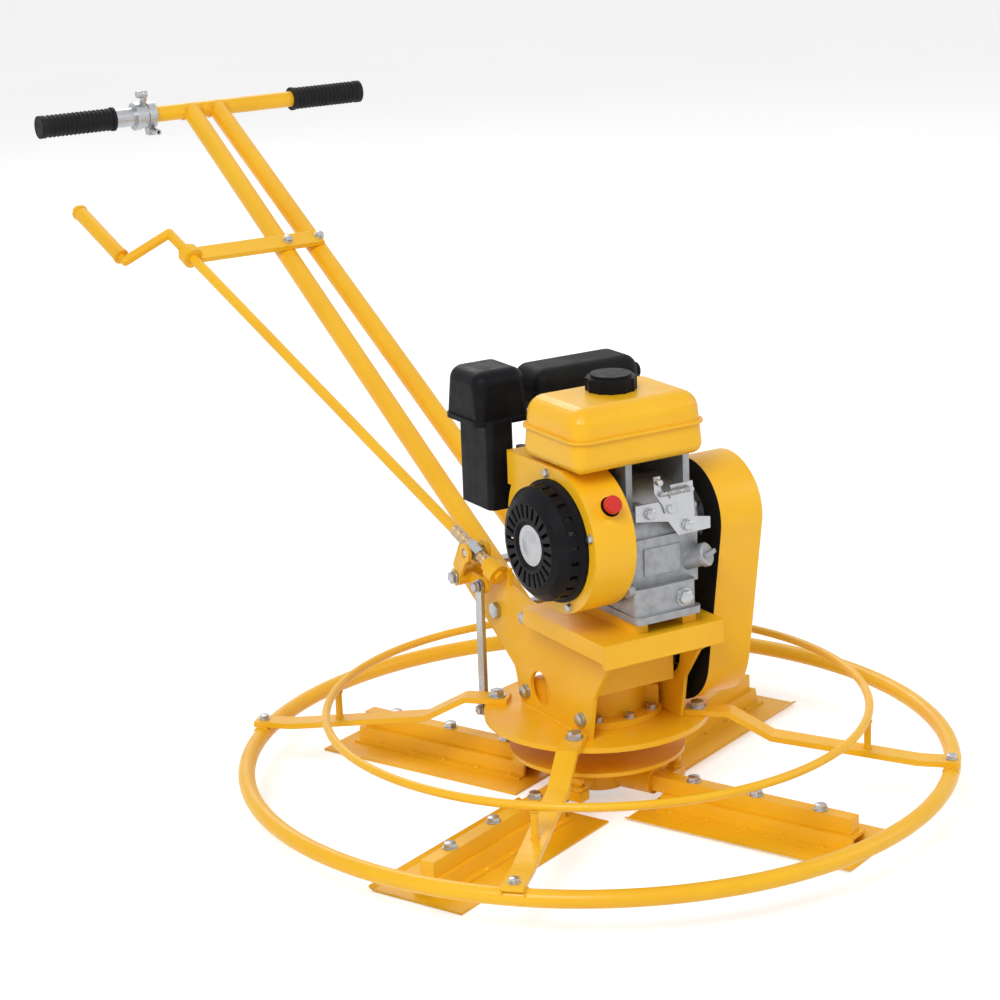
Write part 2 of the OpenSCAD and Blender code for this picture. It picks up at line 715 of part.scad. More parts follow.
module grip(side) {
    inner = bar_length / 2 - grip_length;
    color(black) translate([0, -bar_back, bar_height]) rotate([0, side * 90, 0]) difference() {
        union() {
            translate([0, 0, inner]) cylinder(d = grip_size, h = grip_length);
            translate([0, 0, inner]) cylinder(d = grip_size + 5, h = 5);
            translate([0, 0, inner + grip_length - 6]) cylinder(d = grip_size + 3, h = 10);
        }
        translate([0, 0, inner - 1]) cylinder(d = bar_size, h = grip_length + 1);
    }
}

// Crankcase on its foot flange: wide sump, round case, drive cover, finned barrel and the tank's stays
module engine_block() {
    y = crank_ahead;
    z = crank_z;
    sump = rail_top + 48;
    color(cast) difference() {
        union() {
            soft_span([-52, y - 90, rail_top], [54, y + 90, rail_top + 10], 10);
            soft_span([-46, y - 80, rail_top + 9], [52, y + 85, sump], 9);
            yz_plate(-58, 52) union() {
                translate([y, z]) circle(r = 66);
                translate([y - 70, sump - 8]) square([140, z - sump + 8]);
            }
            for (w = [-34, 0, 34]) span([-50, y + w - 3, rail_top + 9], [-44, y + w + 3, sump + 4]);
            soft_span([-30, y + 66, sump + 12], [30, y + 72.5, z - 14], 2);
            span([-56, y - 68, z + 30], [-46, y + 56, tank_z]);
            span([36, y - 68, z + 30], [46, y + 56, tank_z]);
            x_rod(-68, -57, 58, y, z);
            x_rod(-78, -67, 44, y, z);
            x_rod(50, 58, 40, y, z);
            for (e = [-72, 72]) x_rod(50, 60 - face_gap, 9, y + e, z - 66);
            for (p = [[26, 38], [-34, 12]]) translate([p[0], y + 40, z + p[1]]) rotate([-90, 0, 0])
                cylinder(r = 9, h = 39);
            on_line([-44, y + 62, z - 44], [-0.48, 0.8, 0.36]) cylinder(r = 14, h = 26);
            translate([-10, y, z]) rotate([65, 0, 0]) {
                cylinder(r = 44, h = 118);
                for (h = [70:9:114]) span([-52, -52, h], [52, 52, h + 3.5]);
            }
        }
        x_rod(-50, 32, 52, y, z);
        x_rod(-90, 70, 12.5 + run_gap, y, z);
        translate([-10, y, z]) rotate([65, 0, 0]) cylinder(r = 34, h = 130);
        for (x = [-39, 39], e = [-64, 64]) translate([x, y + e, rail_top - 1]) cylinder(d = 10.5, h = 20);
    }
}

module cylinder_head() {
    color(cast) translate([-10, crank_ahead, crank_z]) rotate([65, 0, 0]) {
        span([-50, -50, 118], [50, 50, 130]);
        for (h = [-48:12:48]) span([h - 2, -50, 129], [h + 2, 50, 152]);
        translate([0, 0, 120]) cylinder(r = 30, h = 28);
        translate([-30, 10, 120]) cylinder(r = 17, h = 32);
        translate([0, 0, 146]) cylinder(r = 11, h = 8, $fn = 6);
        translate([0, 0, 152]) cylinder(r = 5, h = 18);
    }
}

// Outline of the shroud round the flywheel, with its air duct towards the barrel, kept under the tank
module blower_outline(r) {
    intersection() {
        translate([crank_ahead, crank_z]) {
            intersection() {
                union() {
                    circle(r = r, $fn = 96);
                    rotate(140) translate([0, 12 - r]) square([r + 30, 2 * r - 50]);
                }
                circle(r = r + 22, $fn = 96);
            }
            translate([-r - 19, blower_radius + 52 - r]) square(r);
        }
        translate([crank_ahead - 200, tank_z - 3 - blower_radius + r - 400]) square(400);
    }
}

module blower_housing() {
    color(yellow) difference() {
        union() {
            yz_plate(60, 124) blower_outline(blower_radius);
            translate([92, crank_ahead, crank_z]) rotate([35 - 90, 0, 0])
                cylinder(r = 14, h = blower_radius + 7);
        }
        yz_plate(57, 121) blower_outline(blower_radius - 3);
        x_rod(50, 134, recoil_radius - 10, crank_ahead, crank_z);
        translate([92, crank_ahead, crank_z]) rotate([35 - 90, 0, 0]) cylinder(r = 8, h = blower_radius + 20);
    }
}

// Domed starter cover with a ring of air slots and a centre boss
module recoil_cover() {
    r = recoil_radius;
    d = recoil_depth;
    color(black) translate([124, crank_ahead, crank_z]) rotate([0, 90, 0]) difference() {
        rotate_extrude($fn = 96) polygon([
            [r, 0], [r, 6], [r - 4, 8], [r - 6, d - 14], [r - 16, d - 4], [r - 26, d],
            [34, d], [30, d - 4], [0, d - 4], [0, d - 9], [27, d - 9], [r - 29, d - 4], [r - 19, d - 9],
            [r - 10, d - 17], [r - 9, 0]]);
        for (a = [0:15:345]) rotate(a) span([38, -2.5, d - 12], [r - 27, 2.5, d + 2]);
        for (a = [7.5:15:352.5]) rotate(a) span([r - 14, -3, 12], [r + 4, 3, d - 18]);
    }
}

// Crankshaft with webs and pin in the crankcase, clutch shoes and the free end for the drum
module crankshaft() {
    y = crank_ahead;
    z = crank_z;
    color(steel) {
        x_rod(belt_x + 33, -24, 12.5, y, z);
        x_rod(12, 104, 12.5, y, z);
        x_rod(belt_x - 22, belt_x + 34, clutch_r, y, z);
        for (x = [-30, 8]) {
            x_rod(x, x + 12, 24, y, z);
            x_rod(x, x + 12, 18, y, z + 24);
            span([x, y - 26, z - 40], [x + 12, y + 26, z]);
        }
        x_rod(-24, 12, 14, y, z + 24);
        x_rod(belt_x + 16, belt_x + 30, 30, y, z);
        for (a = [0, 120, 240]) translate([belt_x + 23, y, z]) rotate([a, 0, 0])
            span([-7, -16, 24], [7, 16, 33]);
    }
}

module flywheel() {
    color(cast) translate([70, crank_ahead, crank_z]) rotate([0, 90, 0]) difference() {
        union() {
            cylinder(r = recoil_radius - 12, h = 10);
            cylinder(r = 28, h = 28);
            for (a = [0:22.5:337.5]) rotate(a) span([40, -2, 9], [recoil_radius - 14, 2, 30]);
        }
        translate([0, 0, -1]) cylinder(r = 12.5, h = 40);
    }
}

// Rounded block between two corners, with edge radius low below and high above
module pillow(a, b, low, high) {
    hull() {
        for (x = [a.x + low, b.x - low], y = [a.y + low, b.y - low])
            translate([x, y, a.z + low]) sphere(r = low, $fn = 24);
        for (x = [a.x + high, b.x - high], y = [a.y + high, b.y - high])
            translate([x, y, b.z - high]) sphere(r = high, $fn = 28);
    }
}

// Two pressed shells joined at a flange, with the filler neck
module fuel_tank() {
    x0 = 134 - tank_length;
    y0 = crank_ahead + 75 - tank_depth;
    seam = tank_z + 0.517 * tank_height;
    top = tank_z + tank_height;
    neck = [x0 + 0.47 * tank_length, y0 + 0.42 * tank_depth];
    color(yellow) difference() {
        union() {
            pillow([x0 + 4, y0 + 4, tank_z], [130, y0 + tank_depth - 4, top], 15, 26);
            soft_span([x0, y0, seam - 2], [134, y0 + tank_depth, seam + 2], 24);
            translate([neck.x, neck.y, top - 14]) cylinder(r = cap_radius - 8, h = 20);
        }
        pillow([x0 + 7, y0 + 7, tank_z + 3], [127, y0 + tank_depth - 7, top - 3], 12, 23);
        translate([neck.x, neck.y, top - 20]) cylinder(r = cap_radius - 10, h = 40);
    }
}

module fuel_cap() {
    x = 134 - 0.53 * tank_length;
    y = crank_ahead + 75 - 0.58 * tank_depth;
    top = tank_z + tank_height;
    color(black) translate([x, y, top + face_gap]) difference() {
        union() {
            cylinder(r = cap_radius - 2, h = 18);
            translate([0, 0, 16]) cylinder(r = cap_radius - 7, h = 6);
            for (a = [0:30:330])
                rotate(a) translate([cap_radius - 4, 0, 0]) cylinder(r = 4, h = 17, $fn = 24);
        }
        translate([0, 0, -1]) cylinder(r = cap_radius - 8 + run_gap, h = 7.2);
    }
}

// Black air cleaner: narrow duct below, wide cover above with a lid band
module air_cleaner() {
    z0 = crank_z + 14;
    color(black) difference() {
        union() {
            soft_span([105, -108, z0], [147, -24, z0 + 124], 10);
            soft_span([72, -125, z0 + 118], [160, -29, z0 + 125], 16);
            pillow([75, -122, z0 + 116], [157, -32, z0 + 192], 10, 20);
        }
        span([111, -102, z0 + 6], [141, -30, z0 + 112]);
        span([111, -102, z0 + 110], [141, -42, z0 + 176]);
        x_rod(100, 115, 12, carb_y, carb_z);
    }
}

// Carburettor between the cylinder head and the air cleaner, with its float bowl
module carburettor() {
    color(cast) difference() {
        union() {
            x_rod(40, 105, 16, carb_y, carb_z);
            span([40, carb_y - 22, carb_z - 22], [46, carb_y + 26, carb_z + 17]);
            span([54, carb_y - 18, carb_z - 18], [74, carb_y + 18, carb_z + 18]);
            translate([63, carb_y, carb_z - 48]) cylinder(r = 20, h = 34);
            translate([63, carb_y, carb_z - 54]) cylinder(r = 6, h = 7, $fn = 6);
            translate([63, carb_y, carb_z + 16]) cylinder(r = 5, h = 16);
        }
        x_rod(39, 106, 11, carb_y, carb_z);
    }
}

module choke_lever() {
    foot = carb_z + 18 + face_gap;
    color(black) difference() {
        union() {
            translate([63, carb_y, foot]) cylinder(r = 9, h = 6);
            span([59, carb_y - 40, foot], [67, carb_y, foot + 4]);
            translate([63, carb_y - 40, foot]) cylinder(r = 7, h = 8);
        }
        translate([63, carb_y, carb_z]) cylinder(r = 5 + run_gap, h = 40);
    }
}

// Black silencer behind the tank on a pipe from the cylinder head, with an open outlet
module silencer() {
    z0 = crank_z + 128;
    color(black) difference() {
        union() {
            pillow([-112, -116, z0], [56, -34, z0 + 66], 20, 20);
            soft_span([-115, -119, z0 + 31], [59, -31, z0 + 35], 22);
            translate([-10, crank_ahead, crank_z]) rotate([65, 0, 0]) translate([-30, 10, 152]) {
                cylinder(r = 12, h = 26);
                cylinder(r = 17, h = 5);
                translate([0, 0, 26]) sphere(r = 14);
            }
            translate([-40, crank_ahead - 178 * sin(65) + 10 * cos(65),
                crank_z + 178 * cos(65) + 10 * sin(65)])
                cylinder(r = 12, h = 53);
            x_rod(-130, -106, 11, -76, z0 + 34);
        }
        span([-94, -104, z0 + 12], [44, -46, z0 + 54]);
        for (x = [-82:18:26]) span([x, -124, z0 + 40], [x + 7, -100, z0 + 50]);
        for (x = [-82:18:26]) span([x, -124, z0 + 16], [x + 7, -100, z0 + 27]);
        x_rod(-136, -90, 8, -76, z0 + 34);
    }
}

module stop_switch() {
    color(red) translate([92, crank_ahead, crank_z]) rotate([35 - 90, 0, 0])
        translate([0, 0, blower_radius - 4]) {
            cylinder(r = 8 - run_gap, h = 16);
            translate([0, 0, 15]) cylinder(r = 12, h = 8);
        }
}

// Half section of a pulley with one V groove for the belt, at pitch radius r
module pulley_outline(bore, r, half) {
    polygon([[bore, -half], [r + 4.5, -half], [r + 4.5, -6.95],
        [r - 6.5, -3.58], [r - 6.5, 3.58], [r + 4.5, 6.95],
        [r + 4.5, half], [bore, half]]);
}

module clutch_drum() {
    color(steel) translate([belt_x, crank_ahead, crank_z]) rotate([0, 90, 0]) {
        rotate_extrude() pulley_outline(clutch_r + run_gap, drive_radius, 11);
        rotate_extrude() translate([0, 10]) polygon([
            [clutch_r + run_gap, 0], [46, 0], [46, 22], [42, 22], [42, 5],
            [clutch_r + run_gap, 5]]);
    }
}

module driven_pulley() {
    color(cast) translate([belt_x, worm_y, worm_z]) rotate([0, 90, 0]) difference() {
        union() {
            rotate_extrude() pulley_outline(worm_shaft_r, driven_radius, 11);
            translate([0, 0, 10]) cylinder(r = worm_shaft_r + 10, h = 18);
        }
        translate([0, 0, -20]) cylinder(r = worm_shaft_r, h = 60);
        for (a = [0:60:300]) rotate(a) translate([36, 0, -20]) cylinder(r = 10, h = 40);
    }
}

// Closed V-belt: two arcs and two straight runs of one section
module v_belt() {
    dy = crank_ahead - worm_y;
    dz = crank_z - worm_z;
    reach = norm([dy, dz]);
    heading = atan2(dz, dy);
    wrap = acos((driven_radius - drive_radius) / reach);
    straight = sqrt(reach * reach - pow(driven_radius - drive_radius, 2));
    color(black) translate([belt_x, 0, 0]) rotate([90, 0, 90]) {
        translate([crank_ahead, crank_z]) rotate(heading - wrap)
            rotate_extrude(angle = 2 * wrap) belt_section(drive_radius);
        translate([worm_y, worm_z]) rotate(heading + wrap)
            rotate_extrude(angle = 360 - 2 * wrap) belt_section(driven_radius);
        translate([worm_y, worm_z]) rotate(heading + wrap)
            rotate([90, 0, 0]) linear_extrude(straight) belt_section(driven_radius);
        translate([crank_ahead, crank_z]) rotate(heading - wrap)
            rotate([90, 0, 0]) linear_extrude(straight) belt_section(drive_radius);
    }
}

module belt_section(r) {
    polygon([[r + 3.5, -6], [r + 3.5, 6], [r - 4.5, 3.55], [r - 4.5, -3.55]]);
}

// Outline of the belt guard, grown by e
module guard_outline(e) {
    hull() {
        translate([crank_ahead, crank_z]) circle(r = drive_radius + 38 + e, $fn = 72);
        translate([worm_y, worm_z]) circle(r = driven_radius + 14 + e, $fn = 72);
    }
}

// Sheet cover over the belt with a back plate that stands on the left side plate
module belt_guard() {
    color(yellow) difference() {
        union() {
            hull() {
                yz_plate(belt_x - 30, belt_x + 38) guard_outline(0);
                yz_plate(belt_x - 37, belt_x - 28) guard_outline(-8);
            }
            for (p = [[worm_y - 52, worm_z], [worm_y + 50, worm_z + 44]])
                x_rod(belt_x + 36, -plate_half - frame_plate, 9, p[0], p[1]);
        }
        hull() {
            yz_plate(belt_x - 28, belt_x + 35) guard_outline(-2.5);
            yz_plate(belt_x - 34, belt_x - 26) guard_outline(-10.5);
        }
        x_rod(belt_x + 34, belt_x + 50, 40, crank_ahead, crank_z);
        x_rod(belt_x + 34, belt_x + 50, 30, worm_y, worm_z);
    }
}

guard_ring();
upper_ring();
guard_struts();
base_plate();
gearbox_case();
gearbox_cover();
worm_shaft();
worm_bearings();
worm_wheel();
output_shaft();
output_bearings();
shaft_seals();
spider();
spider_bolt();
trowel_arm(0);  // trowel_arm_1
trowel_arm(1);  // trowel_arm_2
trowel_arm(2);  // trowel_arm_3
trowel_arm(3);  // trowel_arm_4
blade(0);  // blade_1
blade(1);  // blade_2
blade(2);  // blade_3
blade(3);  // blade_4
pressure_plate();
thrust_bearing();
thrust_collar();
yoke();
pitch_link();
bell_crank();
pitch_nut();
pitch_rod();
crank_grip();
rod_bracket();
engine_deck();
side_plate_right();
side_plate_left();
handle_bolts();
handle_tube(1);  // handle_tube_right
handle_tube(-1);  // handle_tube_left
handlebar();
throttle_clamp();
throttle_lever();
grip(1);  // grip_right
grip(-1);  // grip_left
engine_block();
cylinder_head();
blower_housing();
recoil_cover();
crankshaft();
flywheel();
fuel_tank();
fuel_cap();
air_cleaner();
carburettor();
choke_lever();
silencer();
stop_switch();
clutch_drum();
v_belt();
driven_pulley();
belt_guard();
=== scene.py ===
"""Looks of a walk-behind power trowel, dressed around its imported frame.

Sizes are millimetres in the part's own frame and become metres when a mesh is made:
+Z runs up the rotor axis from the floor, +Y points forward, +X to the operator's right.
Shaders, lamps, floor and camera are set in metres.
"""

import json
import logging
from dataclasses import dataclass
from enum import Enum
from math import atan2, cos, pi, radians, sin, sqrt

import bpy
from mathutils import Matrix, Vector

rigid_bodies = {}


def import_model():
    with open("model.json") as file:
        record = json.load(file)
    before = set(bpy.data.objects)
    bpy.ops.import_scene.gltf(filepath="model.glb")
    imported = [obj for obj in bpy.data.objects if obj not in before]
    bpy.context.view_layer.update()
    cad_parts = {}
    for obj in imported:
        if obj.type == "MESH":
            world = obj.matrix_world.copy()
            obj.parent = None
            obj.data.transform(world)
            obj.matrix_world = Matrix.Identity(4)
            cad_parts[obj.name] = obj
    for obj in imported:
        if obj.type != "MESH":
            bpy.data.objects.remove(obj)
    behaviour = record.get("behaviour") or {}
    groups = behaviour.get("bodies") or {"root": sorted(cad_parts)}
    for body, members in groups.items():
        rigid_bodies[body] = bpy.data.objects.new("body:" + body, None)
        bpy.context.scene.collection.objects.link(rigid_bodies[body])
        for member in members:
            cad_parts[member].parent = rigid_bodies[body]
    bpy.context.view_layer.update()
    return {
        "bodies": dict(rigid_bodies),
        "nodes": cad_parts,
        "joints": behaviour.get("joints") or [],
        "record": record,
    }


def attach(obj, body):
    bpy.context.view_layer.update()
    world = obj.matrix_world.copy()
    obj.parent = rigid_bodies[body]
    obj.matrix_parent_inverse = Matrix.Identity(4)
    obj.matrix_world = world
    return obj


LOG = logging.getLogger("power_trowel")
MM = 0.001
FRAME = "frame"

Colour = tuple[float, float, float]
Point = tuple[float, float, float]
Flat = tuple[float, float]
Seat = tuple[Point, Point]
Shape = tuple[list[Vector], list[tuple[int, ...]]]
Material = bpy.types.Material
Mesh = bpy.types.Mesh
Piece = bpy.types.Object
Socket = bpy.types.NodeSocket
Inputs = dict[str | int, object]

UP: Point = (0.0, 0.0, 1.0)
RIGHT: Point = (1.0, 0.0, 0.0)
LEFT: Point = (-1.0, 0.0, 0.0)
FRONT: Point = (0.0, 1.0, 0.0)
BACK: Point = (0.0, -1.0, 0.0)
SIDES = (-1, 1)


class Slot(Enum):
    """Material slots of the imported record."""

    YELLOW = "yellow_paint"
    BLACK_PAINT = "black_paint"
    STEEL = "steel"
    ALLOY = "alloy"
    IRON = "iron"
    BRONZE = "bronze"
    PLASTIC = "black_plastic"
    RUBBER = "black_rubber"
    RED = "red_plastic"


@dataclass
class Tree:
    """A node tree with short calls for its nodes and links."""

    tree: bpy.types.NodeTree

    def link(self, start: Socket, end: Socket) -> None:
        """Joins an output to an input."""
        self.tree.links.new(start, end)

    def fill(self, node: bpy.types.Node, inputs: Inputs) -> None:
        """Links or sets the inputs of a node.

        Args:
            node: the node.
            inputs: a socket or a plain value, by the input's name or number.
        """
        for key, value in inputs.items():
            if isinstance(value, Socket):
                self.link(value, node.inputs[key])
            else:
                node.inputs[key].default_value = value

    def node(self, kind: str, inputs: Inputs | None = None, **values: object) -> bpy.types.Node:
        """Adds a node, sets its properties and fills its inputs.

        Args:
            kind: the node's type name.
            inputs: a socket or a plain value, by the input's name or number.
            values: properties of the node.

        Returns:
            The new node.
        """
        made = self.tree.nodes.new(kind)
        for key, value in values.items():
            setattr(made, key, value)
        self.fill(made, inputs or {})
        return made

    def maths(self, operation: str, one: Socket | float, two: Socket | float) -> Socket:
        """One sum on two sockets or numbers."""
        return self.node("ShaderNodeMath", {0: one, 1: two}, operation=operation).outputs[0]

    def seen(self) -> Socket:
        """1 for a ray from the camera or off a glossy surface, 0 for light that only fills."""
        path = self.node("ShaderNodeLightPath")
        return self.maths("MAXIMUM", path.outputs["Is Camera Ray"], path.outputs["Is Glossy Ray"])


# --- materials


@dataclass(frozen=True)
class Grain:
    """A noise in cells per metre and octaves, and the span of it that goes from none to full."""

    scale: float
    detail: float
    low: float
    high: float


@dataclass(frozen=True)
class Skin:
    """A fine bump: cells per metre, octaves, depth in metres, strength, and stretch along each axis."""

    scale: float
    detail: float
    depth: float
    strength: float
    stretch: Point = (1, 1, 1)


class Shader(Tree):
    """A material's node tree round one principled surface."""

    MIX_FACTOR, MIX_ONE, MIX_TWO, MIX_RESULT = 0, 6, 7, 2
    EDGE_NONE, EDGE_FULL = 0.995, 0.86

    def __init__(self, name: str) -> None:
        """Starts a material with a bare principled surface.

        Args:
            name: the material's name.
        """
        self.material = bpy.data.materials.new(name)
        self.material.use_nodes = True
        super().__init__(self.material.node_tree)
        self.tree.nodes.clear()
        output = self.node("ShaderNodeOutputMaterial")
        self.surface = self.node("ShaderNodeBsdfPrincipled")
        self.link(self.surface.outputs["BSDF"], output.inputs["Surface"])
        self.place = self.node("ShaderNodeTexCoord").outputs["Object"]

    def noise(self, scale: float, detail: float, stretch: Point = (1, 1, 1)) -> Socket:
        """A noise over the object's own place, in cells per metre and octaves."""
        mapping = self.node("ShaderNodeMapping", {"Vector": self.place, "Scale": stretch})
        return self.node("ShaderNodeTexNoise", {
            "Vector": mapping.outputs["Vector"], "Scale": scale, "Detail": detail}).outputs["Fac"]

    def ramp(self, factor: Socket, low: float, high: float, start: float = 0.0, end: float = 1.0) -> Socket:
        """Maps a factor from low..high to start..end, clamped."""
        return self.node("ShaderNodeMapRange", {
            "Value": factor, "From Min": low, "From Max": high, "To Min": start, "To Max": end}).outputs["Result"]

    def mask(self, grain: Grain, start: float = 0.0, end: float = 1.0) -> Socket:
        """A noise mapped to start..end over the span that its grain names."""
        return self.ramp(self.noise(grain.scale, grain.detail), grain.low, grain.high, start, end)

    def blend(self, factor: Socket, one: Colour | Socket, two: Colour | Socket) -> Socket:
        """Mixes two colours or colour sockets: factor 0 gives the first, 1 the second."""
        one, two = ((*end, 1.0) if isinstance(end, tuple) else end for end in (one, two))
        return self.node("ShaderNodeMix", {self.MIX_FACTOR: factor, self.MIX_ONE: one, self.MIX_TWO: two},
                         data_type="RGBA").outputs[self.MIX_RESULT]

    def edges(self, reach: float) -> tuple[Socket, Socket]:
        """Softened normals and a mask of the sharp edges.

        Args:
            reach: how far an edge reaches, in metres.

        Returns:
            The softened normal and the mask, 1 on an edge.
        """
        soft = self.node("ShaderNodeBevel", {"Radius": reach}, samples=4).outputs["Normal"]
        flat = self.node("ShaderNodeNewGeometry").outputs["Normal"]
        dot = self.node("ShaderNodeVectorMath", {0: soft, 1: flat}, operation="DOT_PRODUCT")
        return soft, self.ramp(dot.outputs["Value"], self.EDGE_NONE, self.EDGE_FULL)

    def bump(self, skin: Skin, normal: Socket) -> Socket:
        """Lays a fine skin over a normal."""
        return self.node("ShaderNodeBump", {
            "Height": self.noise(skin.scale, skin.detail, skin.stretch), "Distance": skin.depth,
            "Strength": skin.strength, "Normal": normal}).outputs["Normal"]


@dataclass(frozen=True)
class Look:
    """What a surface shows: rubbed edges, tones, smears between two roughnesses, skin and plain inputs."""

    edge: float
    rubbed: Colour
    tones: Grain
    smears: Grain
    rough: Flat
    skin: Skin
    plain: dict[str, float]
    wear: tuple[Grain, ...] = ()


@dataclass(frozen=True)
class Finish:
    """A finish: a colour that drifts to a second one, and the look of its kind."""

    name: str
    colour: Colour
    second: Colour

    def look(self) -> Look:
        """The look that this kind of finish has."""
        raise NotImplementedError

    def brighter(self, gain: float, lift: float = 0.0) -> Colour:
        """The colour that its edges are rubbed to."""
        return tuple(min(1.0, gain * c + lift) for c in self.colour)

    def build(self) -> Material:
        """Makes the material.

        Returns:
            The finished material.
        """
        look = self.look()
        shader = Shader(self.name)
        normal, worn = shader.edges(look.edge)
        for grain in look.wear:
            worn = shader.maths("MULTIPLY", worn, shader.mask(grain))
        tone = shader.blend(shader.mask(look.tones), self.colour, self.second)
        shader.fill(shader.surface, {
            "Base Color": shader.blend(worn, tone, look.rubbed),
            "Roughness": shader.mask(look.smears, *look.rough),
            "Normal": shader.bump(look.skin, normal), **look.plain})
        return shader.material


@dataclass(frozen=True)
class Paint(Finish):
    """Sprayed enamel: slight orange peel, tone drift, and edges rubbed in specks and patches."""

    rubbed: Colour
    roughness: float
    peel: float
    coat: float
    gloss: float

    def look(self) -> Look:
        """The look of an enamel."""
        return Look(
            edge=0.0016, rubbed=self.rubbed, wear=(Grain(420.0, 2.0, 0.60, 0.66), Grain(22.0, 4.0, 0.5, 0.62)),
            tones=Grain(7.0, 3.0, 0.35, 0.7), smears=Grain(30.0, 5.0, 0.3, 0.75),
            rough=(self.roughness - 0.05, self.roughness + 0.12), skin=Skin(900.0, 2.0, 0.0002, self.peel),
            plain={"Specular IOR Level": self.gloss, "Coat Weight": self.coat, "Coat Roughness": 0.12})


@dataclass(frozen=True)
class Metal(Finish):
    """Bare metal with dull spots and fine scratches."""

    def look(self) -> Look:
        """The look of a bare metal."""
        return Look(
            edge=0.0008, rubbed=self.brighter(gain=1.25), tones=Grain(45.0, 6.0, 0.42, 0.72),
            smears=Grain(160.0, 4.0, 0.3, 0.7), rough=(0.24, 0.44),
            skin=Skin(500.0, 3.0, 0.0002, 0.2, stretch=(1.0, 1.0, 0.06)), plain={"Metallic": 1.0})


@dataclass(frozen=True)
class Casting(Finish):
    """Sand or die casting: grainy skin, darker pits and brighter machined edges."""

    grain: float = 650.0
    roughness: float = 0.48
    metallic: float = 0.75

    def look(self) -> Look:
        """The look of a casting, with pits eight times as wide as its grain."""
        pits = Grain(self.grain / 8, 6.0, 0.40, 0.68)
        return Look(
            edge=0.0012, rubbed=self.brighter(gain=1.18), tones=pits, smears=pits,
            rough=(self.roughness - 0.05, self.roughness + 0.15), skin=Skin(self.grain, 3.0, 0.0004, 0.45),
            plain={"Metallic": self.metallic})


@dataclass(frozen=True)
class Moulded(Finish):
    """Moulded plastic or rubber with a fine grain and lighter dusty patches at random."""

    roughness: float
    grain: float
    depth: float
    gloss: float = 0.28

    def look(self) -> Look:
        """The look of a moulding."""
        return Look(
            edge=0.0014, rubbed=self.brighter(gain=1.4, lift=0.005), tones=Grain(26.0, 6.0, 0.52, 0.85),
            smears=Grain(60.0, 4.0, 0.3, 0.7), rough=(self.roughness - 0.07, self.roughness + 0.1),
            skin=Skin(self.grain, 2.0, 0.0003, self.depth), plain={"Specular IOR Level": self.gloss})


FINISHES: dict[Slot, Finish] = {
    Slot.YELLOW: Paint(
        "yellow_enamel", (0.93, 0.515, 0.012), (0.89, 0.455, 0.008), rubbed=(0.95, 0.66, 0.16),
        roughness=0.36, peel=0.25, coat=0.12, gloss=0.34),
    Slot.BLACK_PAINT: Paint(
        "black_stove_enamel", (0.006, 0.006, 0.006), (0.012, 0.011, 0.010), rubbed=(0.05, 0.047, 0.044),
        roughness=0.55, peel=0.45, coat=0.0, gloss=0.1),
    Slot.STEEL: Metal("zinc_plate", (0.47, 0.48, 0.50), (0.42, 0.43, 0.445)),
    Slot.ALLOY: Casting("cast_alloy", (0.34, 0.35, 0.365), (0.305, 0.315, 0.33)),
    Slot.IRON: Casting("turned_iron", (0.30, 0.30, 0.31), (0.20, 0.20, 0.21),
                       grain=500.0, roughness=0.45, metallic=0.85),
    Slot.BRONZE: Metal("gear_bronze", (0.72, 0.50, 0.22), (0.55, 0.36, 0.15)),
    Slot.PLASTIC: Moulded("black_moulding", (0.006, 0.006, 0.008), (0.013, 0.013, 0.015),
                          roughness=0.42, grain=1400.0, depth=0.35, gloss=0.09),
    Slot.RUBBER: Moulded("black_rubber", (0.010, 0.010, 0.012), (0.022, 0.022, 0.023),
                         roughness=0.6, grain=900.0, depth=0.5, gloss=0.18),
    Slot.RED: Moulded("red_button", (0.62, 0.022, 0.016), (0.50, 0.03, 0.02),
                      roughness=0.32, grain=1200.0, depth=0.1),
}


class Palette:
    """Builds each finish once and dresses the frame's own nodes."""

    def __init__(self) -> None:
        """Makes every material."""
        self.materials = {slot: finish.build() for slot, finish in FINISHES.items()}

    def dress_nodes(self, frame: dict) -> None:
        """Gives each node of the frame the finish of its record slot.
        """
        for row in frame["record"]["subparts"]:
            node = frame["nodes"][row["node"]]
            finish = self.materials[Slot(row["material_slot"])]
            if not node.material_slots:
                node.data.materials.append(finish)
            for place in node.material_slots:
                place.material = finish
            LOG.info("node %s wears %s", row["node"], finish.name)


# --- meshes


def turn_to(aim: Point) -> Matrix:
    """Rotation that takes +Z to a direction."""
    return Vector(aim).normalized().to_track_quat("Z", "Y").to_matrix().to_4x4()


def add_object(name: str, data: bpy.types.ID) -> Piece:
    """Puts a new object into the scene.

    Args:
        name: the object's name.
        data: its mesh, curve, lamp or camera.

    Returns:
        The object.
    """
    made = bpy.data.objects.new(name, data)
    bpy.context.scene.collection.objects.link(made)
    return made


def smooth(mesh: Mesh, sharp: float) -> None:
    """Smooths a mesh, but for edges that bend more than an angle in degrees."""
    mesh.shade_smooth()
    mesh.set_sharp_from_angle(angle=radians(sharp))


